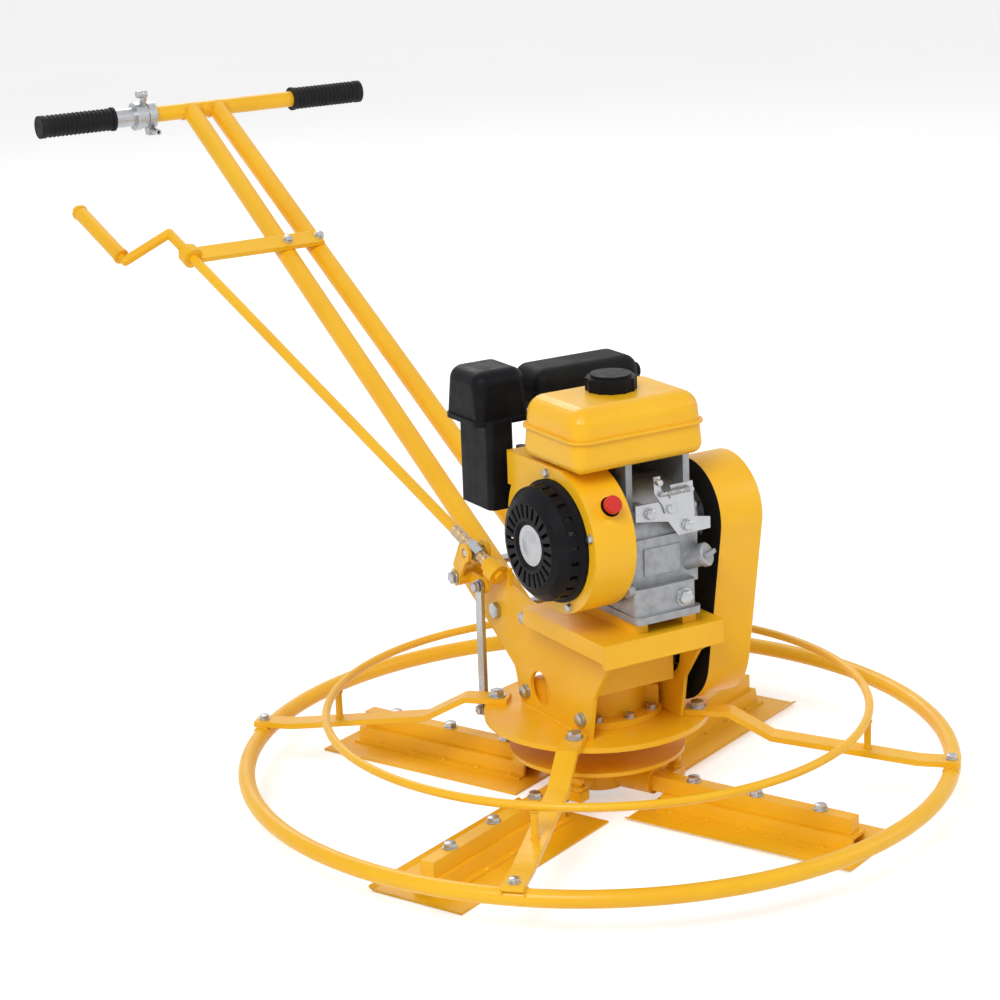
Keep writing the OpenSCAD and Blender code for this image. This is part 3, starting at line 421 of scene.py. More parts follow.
def lathe(profile: list[Flat], foot: Point, aim: Point, sides: int) -> Shape:
    """Turns a half section about a line.

    Args:
        profile: radius and height of each corner, counter-clockwise.
        foot: where height 0 lies.
        aim: direction of the axis.
        sides: facets round the axis.

    Returns:
        The points and the faces.
    """
    place = Matrix.Translation(foot) @ turn_to(aim)
    rings: list[list[int]] = []
    points: list[Vector] = []
    for radius, height in profile:
        rings.append([])
        for step in range(sides if radius else 1):
            angle = 2 * pi * step / sides
            rings[-1].append(len(points))
            points.append(place @ Vector((radius * cos(angle), radius * sin(angle), height)))
    faces: list[tuple[int, ...]] = []
    for low, high in zip(rings, rings[1:]):
        for step in range(sides):
            after = (step + 1) % sides
            corners = ((low, step), (low, after), (high, after), (high, step))
            faces.append(tuple(dict.fromkeys(ring[at % len(ring)] for ring, at in corners)))
    return points, faces


def prism(outline: list[Flat], thick: float, place: Matrix) -> Shape:
    """Raises a plate from a counter-clockwise outline.

    Args:
        outline: corners in the plate's own plane.
        thick: its thickness, along the plane's normal.
        place: where the plane lies.

    Returns:
        The points and the faces.
    """
    count = len(outline)
    points = [place @ Vector((u, v, height)) for height in (0.0, thick) for u, v in outline]
    faces: list[tuple[int, ...]] = [tuple(range(count))[::-1], tuple(range(count, 2 * count))]
    for index in range(count):
        after = (index + 1) % count
        faces.append((index, after, count + after, count + index))
    return points, faces


def upright(front: float) -> Matrix:
    """Plane across Y that reads X to the side and Z up; plates grow back from it."""
    return Matrix(((1, 0, 0, 0), (0, 0, -1, front), (0, 1, 0, 0), (0, 0, 0, 1)))


def polar(radius: float, degrees: float, height: float) -> Point:
    """A point at a radius and angle about the rotor axis."""
    angle = radians(degrees)
    return (radius * cos(angle), radius * sin(angle), height)


def spun(point: Point, degrees: float) -> Point:
    """A point turned about the rotor axis."""
    return tuple(Matrix.Rotation(radians(degrees), 4, "Z") @ Vector(point))


def points_mesh(name: str, seats: list[Seat]) -> Mesh:
    """Carrier mesh of bare points, each with the direction that stands on it.

    Args:
        name: the mesh's name.
        seats: place in millimetres and direction of each point.

    Returns:
        The carrier mesh.
    """
    mesh = bpy.data.meshes.new(name)
    mesh.from_pydata([Vector(place) * MM for place, _ in seats], [], [])
    aims = mesh.attributes.new("aim", "FLOAT_VECTOR", "POINT")
    for index, (_, aim) in enumerate(seats):
        aims.data[index].vector = Vector(aim).normalized()
    return mesh


def lines_mesh(name: str, lines: list[list[Point]], closed: bool = False) -> Mesh:
    """Carrier mesh of polylines.

    Args:
        name: the mesh's name.
        lines: points of each line in millimetres.
        closed: joins each line's end to its start.

    Returns:
        The carrier mesh.
    """
    points: list[Vector] = []
    edges: list[tuple[int, int]] = []
    for line in lines:
        first = len(points)
        points += [Vector(p) * MM for p in line]
        edges += [(i, i + 1) for i in range(first, len(points) - 1)]
        if closed:
            edges.append((len(points) - 1, first))
    mesh = bpy.data.meshes.new(name)
    mesh.from_pydata(points, edges, [])
    return mesh


class Growth(Tree):
    """A geometry node tree that grows a piece on a carrier mesh, from named sizes."""

    def __init__(self, name: str, sharp: float) -> None:
        """Starts a tree with a geometry and a finish to set.

        Args:
            name: the tree's name.
            sharp: angle in degrees above which an edge of the piece stays sharp.
        """
        super().__init__(bpy.data.node_groups.new(name, "GeometryNodeTree"))
        self.sharp = sharp
        for label, way, kind in (("Geometry", "INPUT", "Geometry"), ("Finish", "INPUT", "Material"),
                                 ("Geometry", "OUTPUT", "Geometry")):
            self.tree.interface.new_socket(label, in_out=way, socket_type=f"NodeSocket{kind}")
        self.source = self.node("NodeGroupInput")
        self.sink = self.node("NodeGroupOutput")

    def sizes(self, *names: str) -> list[Socket]:
        """Adds named sizes in metres.

        Args:
            names: their names.

        Returns:
            Their sockets.
        """
        for name in names:
            self.tree.interface.new_socket(name, in_out="INPUT", socket_type="NodeSocketFloat")
        return [self.source.outputs[name] for name in names]

    def lifted(self, geometry: Socket, height: Socket) -> Socket:
        """Moves geometry up its own Z."""
        offset = self.node("ShaderNodeCombineXYZ", {"Z": height}).outputs[0]
        return self.node("GeometryNodeTransform", {"Geometry": geometry, "Translation": offset}).outputs[0]

    def flattened(self, geometry: Socket, share: float) -> Socket:
        """Presses geometry down its own Z to a share of its height."""
        return self.node("GeometryNodeTransform", {"Geometry": geometry, "Scale": (1.0, 1.0, share)}).outputs[0]

    def set_out(self, points: Socket, aim: Socket, shape: Socket, **inputs: Socket) -> Socket:
        """Sets a shape on each point, its Z along the aim."""
        turn = self.node("FunctionNodeAlignRotationToVector", {"Vector": aim}, axis="Z").outputs["Rotation"]
        return self.node("GeometryNodeInstanceOnPoints", {
            "Points": points, "Instance": shape, "Rotation": turn, **inputs}).outputs[0]

    def standing(self, shape: Socket) -> "Growth":
        """Ends the tree with a shape stood on each point of the carrier, along its direction."""
        aim = self.node("GeometryNodeInputNamedAttribute", {"Name": "aim"}, data_type="FLOAT_VECTOR")
        return self.close(self.set_out(self.source.outputs["Geometry"], aim.outputs["Attribute"], shape))

    def along(self, step: Socket, shape: Socket, **inputs: Socket) -> "Growth":
        """Ends the tree with a shape set at even steps along the carrier's lines.

        Args:
            step: length of a step.
            shape: what to set there.
            inputs: further inputs of the instances.

        Returns:
            The closed tree.
        """
        curve = self.node("GeometryNodeMeshToCurve", {"Mesh": self.source.outputs["Geometry"]}).outputs[0]
        even = self.node("GeometryNodeResampleCurve", {"Curve": curve, "Length": step}, mode="LENGTH").outputs[0]
        tangent = self.node("GeometryNodeInputTangent").outputs[0]
        return self.close(self.set_out(even, tangent, shape, **inputs))

    def close(self, geometry: Socket) -> "Growth":
        """Makes the instances real, sets the finish and ends the tree.

        Args:
            geometry: what the tree has made.

        Returns:
            The closed tree.
        """
        real = self.node("GeometryNodeRealizeInstances", {"Geometry": geometry}).outputs[0]
        finish = self.source.outputs["Finish"]
        dressed = self.node("GeometryNodeSetMaterial", {"Geometry": real, "Material": finish}).outputs[0]
        self.link(dressed, self.sink.inputs[0])
        return self

    def grow(self, carrier: Mesh, finish: Material, sizes: dict[str, float]) -> Piece:
        """Runs the tree on a carrier mesh and keeps the result as a plain mesh.

        Args:
            carrier: points or lines that the tree works on.
            finish: the material it sets.
            sizes: named inputs in metres.

        Returns:
            The piece, named like its carrier, with no modifier left on it.
        """
        name = carrier.name
        piece = add_object(name, carrier)
        modifier = piece.modifiers.new("grow", "NODES")
        modifier.node_group = self.tree
        values: dict[str, object] = {"Finish": finish, **sizes}
        for item in self.tree.interface.items_tree:
            if item.name in values:
                modifier[item.identifier] = values[item.name]
        ready = piece.evaluated_get(bpy.context.evaluated_depsgraph_get())
        mesh = bpy.data.meshes.new_from_object(ready)
        piece.modifiers.remove(modifier)
        mesh.name = name
        smooth(mesh, self.sharp)
        piece.data = mesh
        return piece


class Workshop:
    """The node trees that make what repeats on this machine."""

    HEX_BODY, HEX_CROWN, CROWN_WIDTH = 0.82, 0.18, 0.78  # shares of the head's height and width
    RIVET_RISE, BEAD_LENGTH = 0.5, 0.62  # shares of a ball's height
    BEAD_LEAST, BEAD_MOST, BEAD_SEED = 0.86, 1.12, 7
    RIDGE_SHARE = 0.34  # of the pitch

    def __init__(self) -> None:
        """Builds every tree once."""
        self.hexes = self._hex_heads()
        self.domes = self._dome_heads()
        self.welds = self._weld_beads()
        self.thread = self._screw_thread()
        self.ribs = self._grip_ribs()

    def _hex_heads(self) -> Growth:
        """Hexagon heads with a chamfered crown, on washers.

        Returns:
            The tree.
        """
        growth = Growth("hex_heads", sharp=35.0)
        radius, height, wide, thick = growth.sizes("head_radius", "head_height", "washer_radius", "washer_height")
        washer = growth.node("GeometryNodeMeshCylinder", {"Vertices": 24, "Radius": wide, "Depth": thick})
        tall = growth.maths("MULTIPLY", height, self.HEX_BODY)
        body = growth.node("GeometryNodeMeshCylinder", {"Vertices": 6, "Radius": radius, "Depth": tall})
        crown = growth.node("GeometryNodeExtrudeMesh", {
            "Mesh": body.outputs["Mesh"], "Selection": body.outputs["Top"],
            "Offset Scale": growth.maths("MULTIPLY", height, self.HEX_CROWN)})
        head = growth.node("GeometryNodeScaleElements", {
            "Geometry": crown.outputs["Mesh"], "Selection": crown.outputs["Top"], "Scale": self.CROWN_WIDTH})
        middle = growth.maths("ADD", thick, growth.maths("MULTIPLY", tall, 0.5))
        both = growth.node("GeometryNodeJoinGeometry")
        growth.link(growth.lifted(washer.outputs["Mesh"], growth.maths("MULTIPLY", thick, 0.5)), both.inputs[0])
        growth.link(growth.lifted(head.outputs["Geometry"], middle), both.inputs[0])
        return growth.standing(both.outputs[0])

    def _dome_heads(self) -> Growth:
        """Low domed rivets.

        Returns:
            The tree.
        """
        growth = Growth("dome_heads", sharp=60.0)
        radius, = growth.sizes("head_radius")
        ball = growth.node("GeometryNodeMeshUVSphere", {"Segments": 16, "Rings": 8, "Radius": radius})
        return growth.standing(growth.flattened(ball.outputs["Mesh"], self.RIVET_RISE))

    def _weld_beads(self) -> Growth:
        """Rippled weld beads along the carrier's lines.

        Returns:
            The tree.
        """
        growth = Growth("weld_beads", sharp=80.0)
        radius, step = growth.sizes("bead_radius", "bead_step")
        chance = growth.node("FunctionNodeRandomValue", {
            2: self.BEAD_LEAST, 3: self.BEAD_MOST, "Seed": self.BEAD_SEED}, data_type="FLOAT")
        ball = growth.node("GeometryNodeMeshIcoSphere", {"Radius": radius, "Subdivisions": 2})
        bead = growth.flattened(ball.outputs["Mesh"], self.BEAD_LENGTH)
        return growth.along(step, bead, Scale=chance.outputs[1])

    def _screw_thread(self) -> Growth:
        """A helical ridge, stood on the carrier's point.

        Returns:
            The tree.
        """
        growth = Growth("screw_thread", sharp=50.0)
        radius, pitch, length = growth.sizes("thread_radius", "thread_pitch", "thread_length")
        spiral = growth.node("GeometryNodeCurveSpiral", {
            "Resolution": 24, "Rotations": growth.maths("DIVIDE", length, pitch), "Start Radius": radius,
            "End Radius": radius, "Height": length})
        ridge = growth.node("GeometryNodeCurvePrimitiveCircle", {
            "Resolution": 4, "Radius": growth.maths("MULTIPLY", pitch, self.RIDGE_SHARE)})
        tube = growth.node("GeometryNodeCurveToMesh", {
            "Curve": spiral.outputs[0], "Profile Curve": ridge.outputs[0], "Fill Caps": True})
        return growth.standing(tube.outputs[0])

    def _grip_ribs(self) -> Growth:
        """A row of soft rings along the carrier's line.

        Returns:
            The tree.
        """
        growth = Growth("grip_ribs", sharp=80.0)
        wide, radius, step = growth.sizes("ring_radius", "rib_radius", "rib_step")
        circle = growth.node("GeometryNodeCurvePrimitiveCircle", {"Resolution": 48, "Radius": wide})
        section = growth.node("GeometryNodeCurvePrimitiveCircle", {"Resolution": 10, "Radius": radius})
        ring = growth.node("GeometryNodeCurveToMesh", {
            "Curve": circle.outputs[0], "Profile Curve": section.outputs[0]})
        return growth.along(step, ring.outputs[0])


# --- sub-assemblies


@dataclass(frozen=True)
class Bolt:
    """Radius and height of a bolt's head and of its washer, in millimetres."""

    head_radius: float
    head_height: float
    washer_radius: float
    washer_height: float


@dataclass(frozen=True)
class Helix:
    """Radius, pitch and length of a thread or spring, in millimetres."""

    thread_radius: float
    thread_pitch: float
    thread_length: float


M6 = Bolt(5.8, 4.0, 6.2, 1.2)
M8 = Bolt(7.5, 5.3, 8.3, 1.6)
M10 = Bolt(9.2, 6.4, 10.4, 2.0)
M12 = Bolt(10.4, 7.5, 12.5, 2.4)


@dataclass
class Assembly:
    """A sub-assembly: the palette and workshop that its pieces come from."""

    palette: Palette
    workshop: Workshop

    SHARP = 40.0
    BEAD_STEP = 0.8

    def keep(self, piece: Piece, slot: Slot, body: str = FRAME) -> None:
        """Ties a piece to its body and reports it.

        Args:
            piece: the finished piece.
            slot: the record slot of its finish; not used.
            body: the body that carries it.
        """
        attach(piece, body)
        LOG.info("piece %s rides %s: %d faces", piece.name, body, len(piece.data.polygons))

    def grown(self, growth: Growth, carrier: Mesh, slot: Slot, body: str = FRAME, **sizes: float) -> None:
        """Grows a piece on the carrier that bears its name, from sizes in millimetres."""
        metres = {name: size * MM for name, size in sizes.items()}
        self.keep(growth.grow(carrier, self.palette.materials[slot], metres), slot, body)

    def bolts(self, name: str, bolt: Bolt, seats: list[Seat], body: str = FRAME) -> None:
        """Puts hexagon bolts on their seats."""
        self.grown(self.workshop.hexes, points_mesh(name, seats), Slot.STEEL, body, **vars(bolt))

    def wound(self, name: str, helix: Helix, seat: Seat, body: str = FRAME) -> None:
        """Winds a steel thread or spring up from its seat."""
        self.grown(self.workshop.thread, points_mesh(name, [seat]), Slot.STEEL, body, **vars(helix))

    def weld(self, name: str, lines: list[list[Point]], radius: float, closed: bool = False) -> None:
        """Lays painted weld beads along lines, each joined to its own start if closed."""
        self.grown(self.workshop.welds, lines_mesh(name, lines, closed), Slot.YELLOW,
                   bead_radius=radius, bead_step=self.BEAD_STEP * radius)

    def shaped(self, name: str, slot: Slot, shape: Shape) -> None:
        """Makes a piece of points in millimetres and faces.

        Args:
            name: the piece's name.
            slot: the finish.
            shape: its points and faces.
        """
        points, faces = shape
        mesh = bpy.data.meshes.new(name)
        mesh.from_pydata([p * MM for p in points], [], faces)
        smooth(mesh, self.SHARP)
        mesh.materials.append(self.palette.materials[slot])
        self.keep(add_object(name, mesh), slot)

    def turned(self, name: str, slot: Slot, profile: list[Flat], foot: Point, aim: Point, sides: int) -> None:
        """Makes a turned piece, as lathe says."""
        self.shaped(name, slot, lathe(profile, foot, aim, sides))


@dataclass
class Guard(Assembly):
    """Bolts and welds of the guard ring, its struts and the upper ring."""

    strut_angles: tuple[int, ...] = (45, 135, 225, 315)
    base_bolt: float = 145.1
    base_seat: float = 136.0
    ring_radius: float = 500.0
    ring_tube: float = 12.0
    ring_height: float = 60.0
    ring_steps: range = range(-10, 11, 2)
    ring_bead: float = 2.4
    strut_half: float = 15.0
    strut_top: float = 80.0
    upper_radius: float = 384.0
    upper_height: float = 135.0
    upper_rod: float = 6.0
    post_radius: float = 5.0
    post_foot: float = 88.2
    post_gap: float = 0.4
    post_steps: range = range(0, 360, 20)
    post_bead: float = 1.9

    def build(self) -> None:
        """Bolts the struts down and welds the rings."""
        for name, bolt, radius, height in (("strut_bolts", M12, self.base_bolt, self.base_seat),
                                           ("ring_bolts", M8, self.ring_radius, self.strut_top)):
            self.bolts(name, bolt, [(polar(radius, a, height), UP) for a in self.strut_angles])
        self.weld("ring_welds", [self._ring_line(a, side) for a in self.strut_angles for side in SIDES],
                  self.ring_bead)
        heights = (self.post_foot, self.upper_height - self.upper_rod - self.post_gap)
        self.weld("post_welds", [self._post_circle(a, h) for a in self.strut_angles for h in heights],
                  self.post_bead, closed=True)

    def _ring_line(self, angle: float, side: int) -> list[Point]:
        """Line where one edge of a strut meets the guard ring."""
        lifts = {step: sqrt(self.ring_tube ** 2 - step ** 2) for step in self.ring_steps}
        return [spun((self.ring_radius + step, side * self.strut_half, self.ring_height + lift), angle)
                for step, lift in lifts.items()]

    def _post_circle(self, angle: float, height: float) -> list[Point]:
        """Circle round a post of the upper ring."""
        centre = Vector(polar(self.upper_radius, angle, height))
        return [tuple(centre + Vector(polar(self.post_radius, a, 0))) for a in self.post_steps]


@dataclass
class Rotor(Assembly):
    """Bolts and rivets of the four trowel arms and blades."""

    arms: int = 4
    first_angle: float = 24.0
    bolt_radii: tuple[int, ...] = (160, 260, 360)
    arm_top: float = 47.0
    rivet_radii: tuple[int, ...] = (136, 196, 256, 316, 376)
    rivet_side: float = 26.5
    rivet_height: float = 6.0
    rivet_head: float = 4.2

    def build(self) -> None:
        """Dresses each arm on its own body."""
        for index in range(self.arms):
            angle = self.first_angle + 360 / self.arms * index
            body = f"arm_{index + 1}"
            self.bolts(f"blade_bolts_{index + 1}", M10,
                       [(polar(r, angle, self.arm_top), UP) for r in self.bolt_radii], body)
            seats = [(spun((r, side * self.rivet_side, self.rivet_height), angle), UP)
                     for r in self.rivet_radii for side in SIDES]
            self.grown(self.workshop.domes, points_mesh(f"blade_rivets_{index + 1}", seats), Slot.YELLOW, body,
                       head_radius=self.rivet_head)


@dataclass
class Gearbox(Assembly):
    """Bolts of the gearbox case and its cover, and bolts and welds of the side plates."""

    flange_top: float = 138.0
    flange_radius: float = 84.0
    flange_angles: tuple[int, ...] = (58, 90, 122, 238, 270, 302)
    cover_top: float = 268.0
    cover_radius: float = 62.0
    cover_angles: tuple[int, ...] = (200, 235, 270, 305, 340)
    cover_corners: tuple[Flat, ...] = ((-53, 44), (-53, 95), (53, 44), (53, 95))
    plate_face: float = 78.0
    plate_spots: tuple[Flat, ...] = ((-62, 150), (84, 152), (-58, 262))
    base_top: float = 128.0
    weld_stops: tuple[float, ...] = (-72, 0, 101)
    weld_gap: float = 0.5
    weld_bead: float = 2.8

    def build(self) -> None:
        """Bolts the case to the base plate and the cover to the case, and fixes the side plates."""
        self.bolts("case_bolts", M8,
                   [(polar(self.flange_radius, a, self.flange_top), UP) for a in self.flange_angles])
        rim = [(polar(self.cover_radius, a, self.cover_top), UP) for a in self.cover_angles]
        self.bolts("cover_bolts", M8, rim + [((x, y, self.cover_top), UP) for x, y in self.cover_corners])
        self.bolts("plate_bolts", M10, [((side * self.plate_face, y, z), (side, 0, 0))
                                        for side in SIDES for y, z in self.plate_spots])
        lines = [[(side * (self.plate_face + self.weld_gap), y, self.base_top + self.weld_gap)
                  for y in self.weld_stops] for side in SIDES]
        self.weld("plate_welds", lines, self.weld_bead)


@dataclass
class PitchGear(Assembly):
    """Screw thread, pins' nuts and bracket bolts of the blade-pitch gear."""

    foot: Point = (92.877, -111.890, 318.784)
    rod: Point = (0.129503, -0.892916, 0.431195)
    thread_from: float = 22.0
    thread: Helix = Helix(7.9, 2.0, 78.0)
    link_face: float = 109.3
    link_y: float = -138.743
    link_ends: Flat = (106.0, 292.208)
    bell_nut: Point = (119.2, -182.743, 297.475)
    bracket: Point = (0.0, -850.486, 675.42)
    bracket_rise: float = 4.0
    across: Point = (0.0, 0.4885, 0.8726)
    tube_offset: float = 28.3

    def build(self) -> None:
        """Winds the thread and fits the nuts and the bracket's bolts."""
        start = Vector(self.foot) + Vector(self.rod) * self.thread_from
        self.wound("rod_thread", self.thread, (tuple(start), self.rod), "crank")
        self.bolts("link_nuts", M8, [((self.link_face, self.link_y, z), RIGHT) for z in self.link_ends], "link")
        self.bolts("bell_nut", M10, [(self.bell_nut, RIGHT)])
        seat = Vector(self.bracket) + Vector(self.across) * self.bracket_rise
        self.bolts("bracket_bolts", M8,
                   [((side * self.tube_offset, seat.y, seat.z), self.across) for side in SIDES])


@dataclass
class Handle(Assembly):
    """Grip ribs, handlebar welds and the clamp screw."""

    bar: Flat = (-1204.0, 851.0)
    bar_radius: float = 13.5
    rib_span: Flat = (178.5, 282.5)
    grip_radius: float = 17.5
    rib_radius: float = 1.5
    rib_step: float = 7.4
    tube_offset: float = 24.0
    tube_radius: float = 15.5
    tube_dir: Flat = (0.8726, -0.4885)
    weld_angles: range = range(-70, 71, 10)
    weld_bead: float = 2.4
    clamp_screw: Point = (100.5, -1212.0, 825.5)

    def build(self) -> None:
        """Ribs the grips, welds the tubes to the bar and fits the clamp screw."""
        for name, side in (("grip_ribs_right", 1), ("grip_ribs_left", -1)):
            line = [(side * x, *self.bar) for x in self.rib_span]
            self.grown(self.workshop.ribs, lines_mesh(name, [line]), Slot.RUBBER,
                       ring_radius=self.grip_radius, rib_radius=self.rib_radius, rib_step=self.rib_step)
        edges = [side * self.tube_offset + edge * self.tube_radius for side in SIDES for edge in SIDES]
        self.weld("bar_welds", [[self._on_bar(x, a) for a in self.weld_angles] for x in edges], self.weld_bead)
        self.bolts("clamp_screw", M6, [(self.clamp_screw, BACK)])

    def _on_bar(self, x: float, degrees: float) -> Point:
        """A point on the handlebar's skin.

        Args:
            x: place along the bar.
            degrees: turn from the tubes' direction.

        Returns:
            The point.
        """
        turn = radians(degrees)
        y, z = self.tube_dir
        return (x, self.bar[0] + self.bar_radius * (y * cos(turn) - z * sin(turn)),
                self.bar[1] + self.bar_radius * (z * cos(turn) + y * sin(turn)))


@dataclass
class Engine(Assembly):
    """Starter disc, blower baffle, plug cap, oil plugs, controls, bolts and the switch's bezel."""

    crank: Flat = (103.0, 424.0)
    recoil_face: float = 162.0
    housing_face: float = 124.0
    housing_bolts: float = 92.0
    housing_angles: tuple[int, ...] = (15, 100, 205, 290)
    housing_back: float = 60.4
    baffle_hole: float = 15.0
    baffle_rim: float = 96.4
    baffle_sheet: float = 1.2
    drive_face: float = -68.0
    drive_bolts: float = 51.0
    drive_angles: range = range(30, 390, 60)
    plug_x: float = -10.0
    plug_lean: float = -65.0
    plug_reach: float = 158.0
    filler: Point = (-56.5, 185.8, 389.4)
    filler_aim: Point = (-0.48, 0.8, 0.36)
    filler_top: float = 9.0
    filler_bar: float = 6.5
    drain: Point = (-24.0, 188.0, 338.0)
    control_front: float = 184.0
    control_sheet: float = 2.0
    control_bosses: tuple[Flat, ...] = ((26.0, 462.0), (-34.0, 436.0))
    lever_front: float = 187.0
    lever_pivot: Flat = (-5.0, 464.0)
    swivel: Flat = (15.0, 505.0)
    spring_pin: Flat = (-38.0, 487.0)
    spring_start: Point = (13.0, 188.6, 487.0)
    spring: Helix = Helix(3.2, 2.1, 50.0)
    button_x: float = 92.0
    button_lean: float = 55.0
    button_reach: float = 107.0

    def build(self) -> None:
        """Makes the engine's small pieces."""
        self.turned("starter_disc", Slot.STEEL, [
            (0, 0), (28.4, 0), (28, 1.2), (26.5, 1.6), (24.5, 0.9), (19, 0.8), (18, 1.2), (10, 1.1), (9, 1.5),
            (0, 1.4)], (self.recoil_face, *self.crank), RIGHT, sides=64)
        hole, rim, sheet = self.baffle_hole, self.baffle_rim, self.baffle_sheet
        self.turned("blower_baffle", Slot.BLACK_PAINT, [
            (hole, 0), (rim, 0), (rim, sheet), (hole, sheet), (hole, 0)],
            (self.housing_back, *self.crank), RIGHT, sides=64)
        self.bolts("housing_bolts", M6, [(self._on_face(self.housing_face, self.housing_bolts, a), RIGHT)
                                         for a in self.housing_angles])
        self.bolts("drive_cover_bolts", M6, [(self._on_face(self.drive_face, self.drive_bolts, a), LEFT)
                                             for a in self.drive_angles])
        self.turned("plug_cap", Slot.RUBBER, [
            (0, 0), (9.5, 0), (10.5, 1.5), (10.5, 4), (9, 5.5), (9, 9), (10.2, 10.2), (10.2, 12), (8.6, 13.5),
            (8.2, 26), (7, 30), (4.5, 32.5), (0, 33)],
            *self._out(self.plug_x, self.plug_lean, self.plug_reach), sides=32)
        self._oil_plugs()
        self._controls()
        self.turned("button_bezel", Slot.PLASTIC, [
            (9.2, 0), (13.4, 0), (14.2, 0.6), (13.9, 1.5), (12.8, 1.7), (12.6, 0.7), (9.2, 0.6), (9.2, 0)],
            *self._out(self.button_x, self.button_lean, self.button_reach), sides=40)

    def _on_face(self, x: float, radius: float, degrees: float) -> Point:
        """A point round the crankshaft on a face across X."""
        angle = radians(degrees)
        return (x, self.crank[0] + radius * cos(angle), self.crank[1] + radius * sin(angle))

    def _out(self, x: float, lean: float, reach: float) -> Seat:
        """Place and direction out from the crankshaft.

        Args:
            x: place along the crankshaft.
            lean: angle in degrees from upright, positive to the front.
            reach: how far out.

        Returns:
            The place and the direction.
        """
        angle = radians(lean)
        aim = (0.0, sin(angle), cos(angle))
        return tuple(Vector((x, *self.crank)) + Vector(aim) * reach), aim

    def _oil_plugs(self) -> None:
        """Filler cap with a finger bar on the neck, and the drain plug low on the sump."""
        cap = [(0, 0), (15, 0), (16.5, 1.2), (16.5, 7.5), (15, 9), (0, 9.4)]
        self.turned("oil_filler", Slot.ALLOY, cap, self.filler, self.filler_aim, sides=40)
        top = Vector(self.filler) + Vector(self.filler_aim).normalized() * self.filler_top
        bar = [(-12, -3), (12, -3), (13, 0), (12, 3), (-12, 3), (-13, 0)]
        self.shaped("filler_bar", Slot.ALLOY,
                    prism(bar, self.filler_bar, Matrix.Translation(top) @ turn_to(self.filler_aim)))
        self.bolts("drain_plug", M12, [(self.drain, FRONT)])

    def _controls(self) -> None:
        """Zinc control plate on its two bosses, with the speed lever and its spring."""
        front = self.control_front
        plate = [(-72, 425), (-20, 424), (-4, 446), (20, 450), (48, 454), (48, 476), (-8, 476), (-8, 496),
                 (-44, 496), (-47, 446), (-72, 441)]
        self.shaped("control_plate", Slot.STEEL, prism(plate, self.control_sheet, upright(front)))
        arm = [(-12, 459), (-5, 456), (2, 458), (6, 470), (20, 490), (20, 512), (10, 512), (9, 494), (-11, 472)]
        self.shaped("speed_lever", Slot.STEEL, prism(arm, self.control_sheet, upright(self.lever_front)))
        x, z = self.lever_pivot
        self.turned("lever_spacer", Slot.STEEL, [(0, 0), (7, 0), (7, 1.2), (0, 1.2)],
                    (x, front, z), FRONT, sides=24)
        self.bolts("control_bolts", M8, [((u, front, v), FRONT) for u, v in self.control_bosses])
        self.bolts("lever_nut", M6, [((x, self.lever_front, z), FRONT)])
        x, z = self.swivel
        self.turned("cable_swivel", Slot.STEEL, [(0, 0), (4.6, 0), (4.6, 8), (3.8, 9), (0, 9)],
                    (x, self.lever_front, z), FRONT, sides=24)
        x, z = self.spring_pin
        self.turned("spring_pin", Slot.STEEL, [(0, 0), (2, 0), (2, 6), (3.2, 6.2), (3.2, 8), (0, 8.4)],
                    (x, front, z), FRONT, sides=16)
        self.wound("governor_spring", self.spring, (self.spring_start, LEFT))


